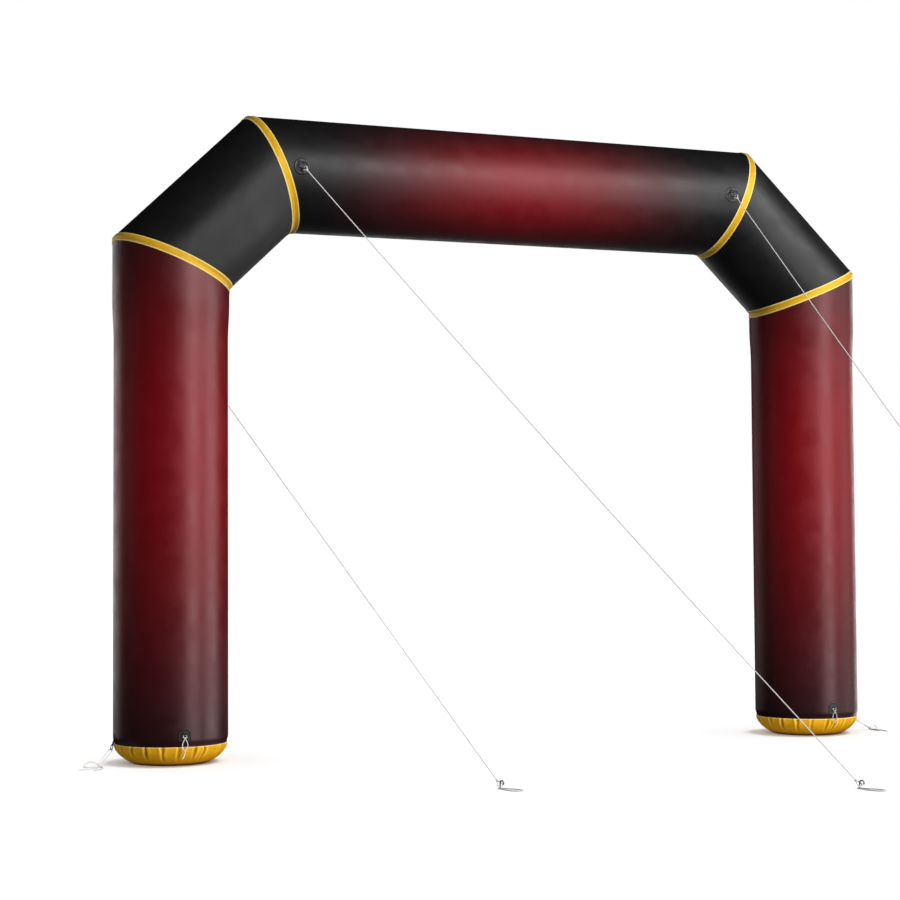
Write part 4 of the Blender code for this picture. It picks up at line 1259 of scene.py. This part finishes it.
for node, tube in (("beam_left", "beam_tube"), ("beam_right", "beam_tube"), ("leg", "leg_left_tube")):
    dress_patch(node, tube, guy_rings[node], round_edge(64), PATCH_RADIUS, guy_patch_cloth,
                RING_RADIUS, RING_WIRE, dark_steel)
for node, tube in (("foot_left", "leg_left_tube"), ("foot_right", "leg_right_tube")):
    dress_patch(node, tube, foot_rings[node], arched_edge(64), FOOT_PATCH_RADIUS, foot_patch_cloth,
                FOOT_RING_RADIUS, FOOT_WIRE, pale_steel)


# ---- Side tabs ----
# A tongue of black webbing is sewn to the outer line of each leg just above the foot. Its lower end is
# rolled round a small steel ring, which the tie goes through.

TAB_HALF_WIDTH = 0.011
ROLL_HALF_WIDTH = 0.0075
ROLL_WALL = 0.0026
# Down the tongue's outer line and up its inner one, as (distance from the tube, height).
TAB_SECTION = (
    (0.0025, 0.212), (0.0029, 0.190), (0.0030, 0.168), (0.0048, 0.158), (0.0088, 0.148), (0.0140, 0.140),
    (0.0070, 0.140), (0.0045, 0.146), (0.0012, 0.156), (0.0, 0.165), (0.0, 0.190), (0.0, 0.212),
)

for side, name in SIDES:
    outward = side * X_AXIS
    foot = leg_axis(side)
    inner = LEG_RADIUS + GAP
    rows = []
    for share in (-1.0, -0.96, -0.6, -0.2, 0.2, 0.6, 0.96, 1.0):
        thickness = 0.9 if abs(share) == 1.0 else 1.0
        rows.append([foot + (inner + r * thickness) * outward + TAB_HALF_WIDTH * share * Y_AXIS + z * Z_AXIS
                     for r, z in TAB_SECTION])
    tongue = Skin()
    tongue.add_rows(rows, lambda r, c: (r * 0.003, c % len(TAB_SECTION) * 0.008), around=True)
    # The rolled end goes round the ring's wire.
    hinge, pull, across, _ = side_ring_places(side)
    sideways = pull.cross(across)
    bore = SIDE_WIRE + 0.0005
    shells = [[hinge + ROLL_HALF_WIDTH * share * across + (bore + ROLL_WALL * wall) * swung(a, pull, sideways)
               for a in angles_round(24)]
              for share, wall in ((-1.0, 0.0), (-1.0, 0.8), (-0.9, 1.0), (0.9, 1.0), (1.0, 0.8), (1.0, 0.0))]
    tongue.add_rows(shells, lambda r, c: (r * 0.003, c * 0.0015), around=True, along=True)
    tab = finish_piece(f"side_tab_{name}_webbing", f"side_tab_{name}", tongue, [webbing], 60)
    face = foot + (inner + 0.0032) * outward
    lines = [[face + z * Z_AXIS + y * Y_AXIS for y in (-0.008, 0.008)] for z in (0.206, 0.186, 0.170)]
    lines += [[face + y * Y_AXIS + z * Z_AXIS for z in (0.206, 0.170)] for y in (-0.008, 0.008)]
    thread = sew(f"side_tab_{name}_stitches", lines, dark_thread, "webbing", width=0.0006,
                 **FINE_STITCH)
    add_ring(f"side_ring_{name}_steel", f"side_ring_{name}", hinge, pull, across, SIDE_RING_RADIUS, SIDE_WIRE,
             dark_steel, 40)


# ---- Floor and light ----
# A plain white floor in a white surround. A broad soft light from the front right and a weaker one from
# the left light the cloth, and softboxes and panels that show only in the gloss give the satin its shine.

bpy.context.scene.view_settings.view_transform = "Standard"

floor_skin = bmesh.new()
bmesh.ops.create_circle(floor_skin, cap_ends=True, segments=96, radius=30.0)
floor_mesh = bpy.data.meshes.new("floor")
floor_skin.to_mesh(floor_mesh)
floor_skin.free()
floor = put_object("floor", floor_mesh)
white_floor, tree, shader = start_material("white floor", Roughness=0.9, Specular_IOR_Level=0.0)
colour = tint(tree, clouds(tree, 1 / 30, 3.0), (0.80, 0.80, 0.80, 1), (0.82, 0.82, 0.82, 1))
paint(tree, shader, colour)
shader["Emission Color"].default_value = (1, 1, 1, 1)
shader["Emission Strength"].default_value = 0.15
floor_mesh.materials.append(white_floor)
floor.visible_glossy = False
floor.visible_diffuse = False
floor.visible_shadow = False

# The surround is white to look at, but throws only a little light, and less still in the gloss.
world = bpy.data.worlds.new("surround")
bpy.context.scene.world = world
world.use_nodes = True
world.cycles.sampling_method = "NONE"
tree = world.node_tree
path = tree.nodes.new("ShaderNodeLightPath").outputs
glow = tree.nodes["Background"].inputs
thrown = tint(tree, path["Is Glossy Ray"], (0.12, 0.12, 0.12, 1), (0.012, 0.012, 0.013, 1))
tree.links.new(tint(tree, path["Is Camera Ray"], thrown, (1, 1, 1, 1)), glow["Color"])


def link_light(lamp, receivers, mode, blockers=()):
    """Limits which objects a light reaches, and which of them throw its shadow."""
    reached = bpy.data.collections.new(lamp.name + " reaches")
    for lit in receivers:
        reached.objects.link(lit)
    lamp.light_linking.receiver_collection = reached
    for entry in reached.collection_objects:
        entry.light_linking.link_state = mode
    if blockers:
        shading = bpy.data.collections.new(lamp.name + " shadows")
        for piece in blockers:
            shading.objects.link(piece)
        lamp.light_linking.blocker_collection = shading


def add_light(name, place, target, size, power, seen_by, receivers=(), mode="INCLUDE"):
    """A softbox at a place, turned to its target. One that is seen by "glossy" only makes shine."""
    data = bpy.data.lights.new(name, "AREA")
    data.shape = "RECTANGLE"
    data.size, data.size_y = size
    data.energy = power
    lamp = put_object(name, data)
    lamp.location = place
    lamp.rotation_euler = (Vector(target) - Vector(place)).to_track_quat("-Z", "Y").to_euler()
    lamp.visible_camera = False
    lamp.visible_diffuse = seen_by == "diffuse"
    lamp.visible_glossy = seen_by == "glossy"
    if receivers:
        link_light(lamp, receivers, mode)


def add_sun(name, heading, angle, power, receivers, blockers=()):
    """Even light from one way on some pieces only."""
    data = bpy.data.lights.new(name, "SUN")
    data.energy = power
    data.angle = radians(angle)
    lamp = put_object(name, data)
    lamp.rotation_euler = Vector(heading).to_track_quat("-Z", "Y").to_euler()
    link_light(lamp, receivers, "INCLUDE", blockers)


def pieces(*names):
    """Pieces by their names."""
    return [bpy.data.objects[name] for name in names]


left_leg, right_leg = pieces("leg_left_tube"), pieces("leg_right_tube")
low_cloth = left_leg + right_leg + pieces("foot_left_patch_cloth", "foot_left_ring_steel",
                                          "foot_right_patch_cloth", "foot_right_ring_steel")
left_shoulder = pieces("shoulder_left_tube")
high_tubes = left_shoulder + pieces("shoulder_right_tube", "beam_tube")

# For the shine of the satin: on everything but the legs, on the legs, and on the surfaces that face in.
add_light("high softbox", (4.9, -8.6, 7.8), (0.4, 0.0, 3.2), (14.5, 3.8), 965, "glossy")
add_light("low softbox", (6.0, -8.0, 2.6), (0.0, 0.0, 2.2), (9.5, 4.0), 240, "glossy",
          left_leg + right_leg, "EXCLUDE")
add_light("leg softbox", (19.1, -35.1, 1.5), (0.0, 0.0, 1.5), (15.5, 21.0), 3700, "glossy", low_cloth)
add_light("leg side panel", (38.2, -11.0, 1.5), (0.0, 0.0, 1.5), (26.0, 21.0), 1650, "glossy", low_cloth)
add_light("inner panel", (3.9, -1.7, 2.0), (-2.6, 0.0, 2.0), (3.6, 7.0), 120, "glossy", left_leg)
add_light("shoulder panel", (4.6, -3.5, 0.6), (-2.2, -0.3, 3.8), (6.0, 3.0), 135, "glossy", left_shoulder)
# For the pale rims, from behind and from below.
add_light("back panel", (-9.0, 30.0, 5.0), (0.0, 0.0, 2.5), (20.0, 12.0), 220, "glossy")
add_light("left back panel", (-13.0, 27.0, 4.0), (-2.5, 0.0, 2.5), (26.0, 12.0), 760, "glossy",
          right_leg, "EXCLUDE")
add_light("low back panel", (2.0, 9.0, -0.2), (2.0, 9.0, 5.0), (16.0, 10.0), 70, "glossy")
add_light("under rim panel", (1.0, 28.0, -0.3), (1.0, 28.0, 5.0), (20.0, 26.0), 2400, "glossy", high_tubes)
add_light("right panel", (12.0, 6.0, 2.0), (1.0, 0.0, 2.0), (4.0, 9.0), 225, "glossy", left_leg, "EXCLUDE")
# For the cloth's own colour. The ropes come nearer to that light, so they have an even one instead.
meshes = [o for o in bpy.context.scene.objects if o.type == "MESH"]
ropes = [o for o in meshes if white_rope.name in o.data.materials]
add_light("front light", (5.5, -14.0, 6.0), (0.0, 0.0, 2.2), (5.0, 5.0), 3050, "diffuse",
          [floor, *ropes], "EXCLUDE")
add_sun("rope sun", (-0.33, 0.84, -0.42), 20, 3.3, ropes)
add_light("left fill", (-27.0, 5.0, 3.0), (0.0, 0.0, 2.2), (12.0, 10.0), 1750, "diffuse", [floor], "EXCLUDE")
add_light("back light", (5.5, 14.0, 3.0), (0.0, 0.0, 2.2), (5.0, 5.0), 1500, "diffuse", [floor], "EXCLUDE")
add_light("cap fill", (0.0, -2.2, -1.2), (0.0, -0.4, 0.1), (7.0, 2.5), 55, "diffuse",
          pieces("foot_cap_left_cloth", "foot_cap_right_cloth"))
# For the floor: short soft shadows to the left, and a darker line where something touches it.
standing = ("foot_cap", "tie_", "guy_", "foot_loop")
low_pieces = [o for o in meshes if o.name.startswith(standing) and not o.hide_render]
add_sun("floor sun", (-0.43, 0.20, -0.88), 30, 1.65, [floor], low_pieces)
add_sun("floor sky", (0.0, 0.0, -1.0), 160, 1.95, [floor], low_pieces)
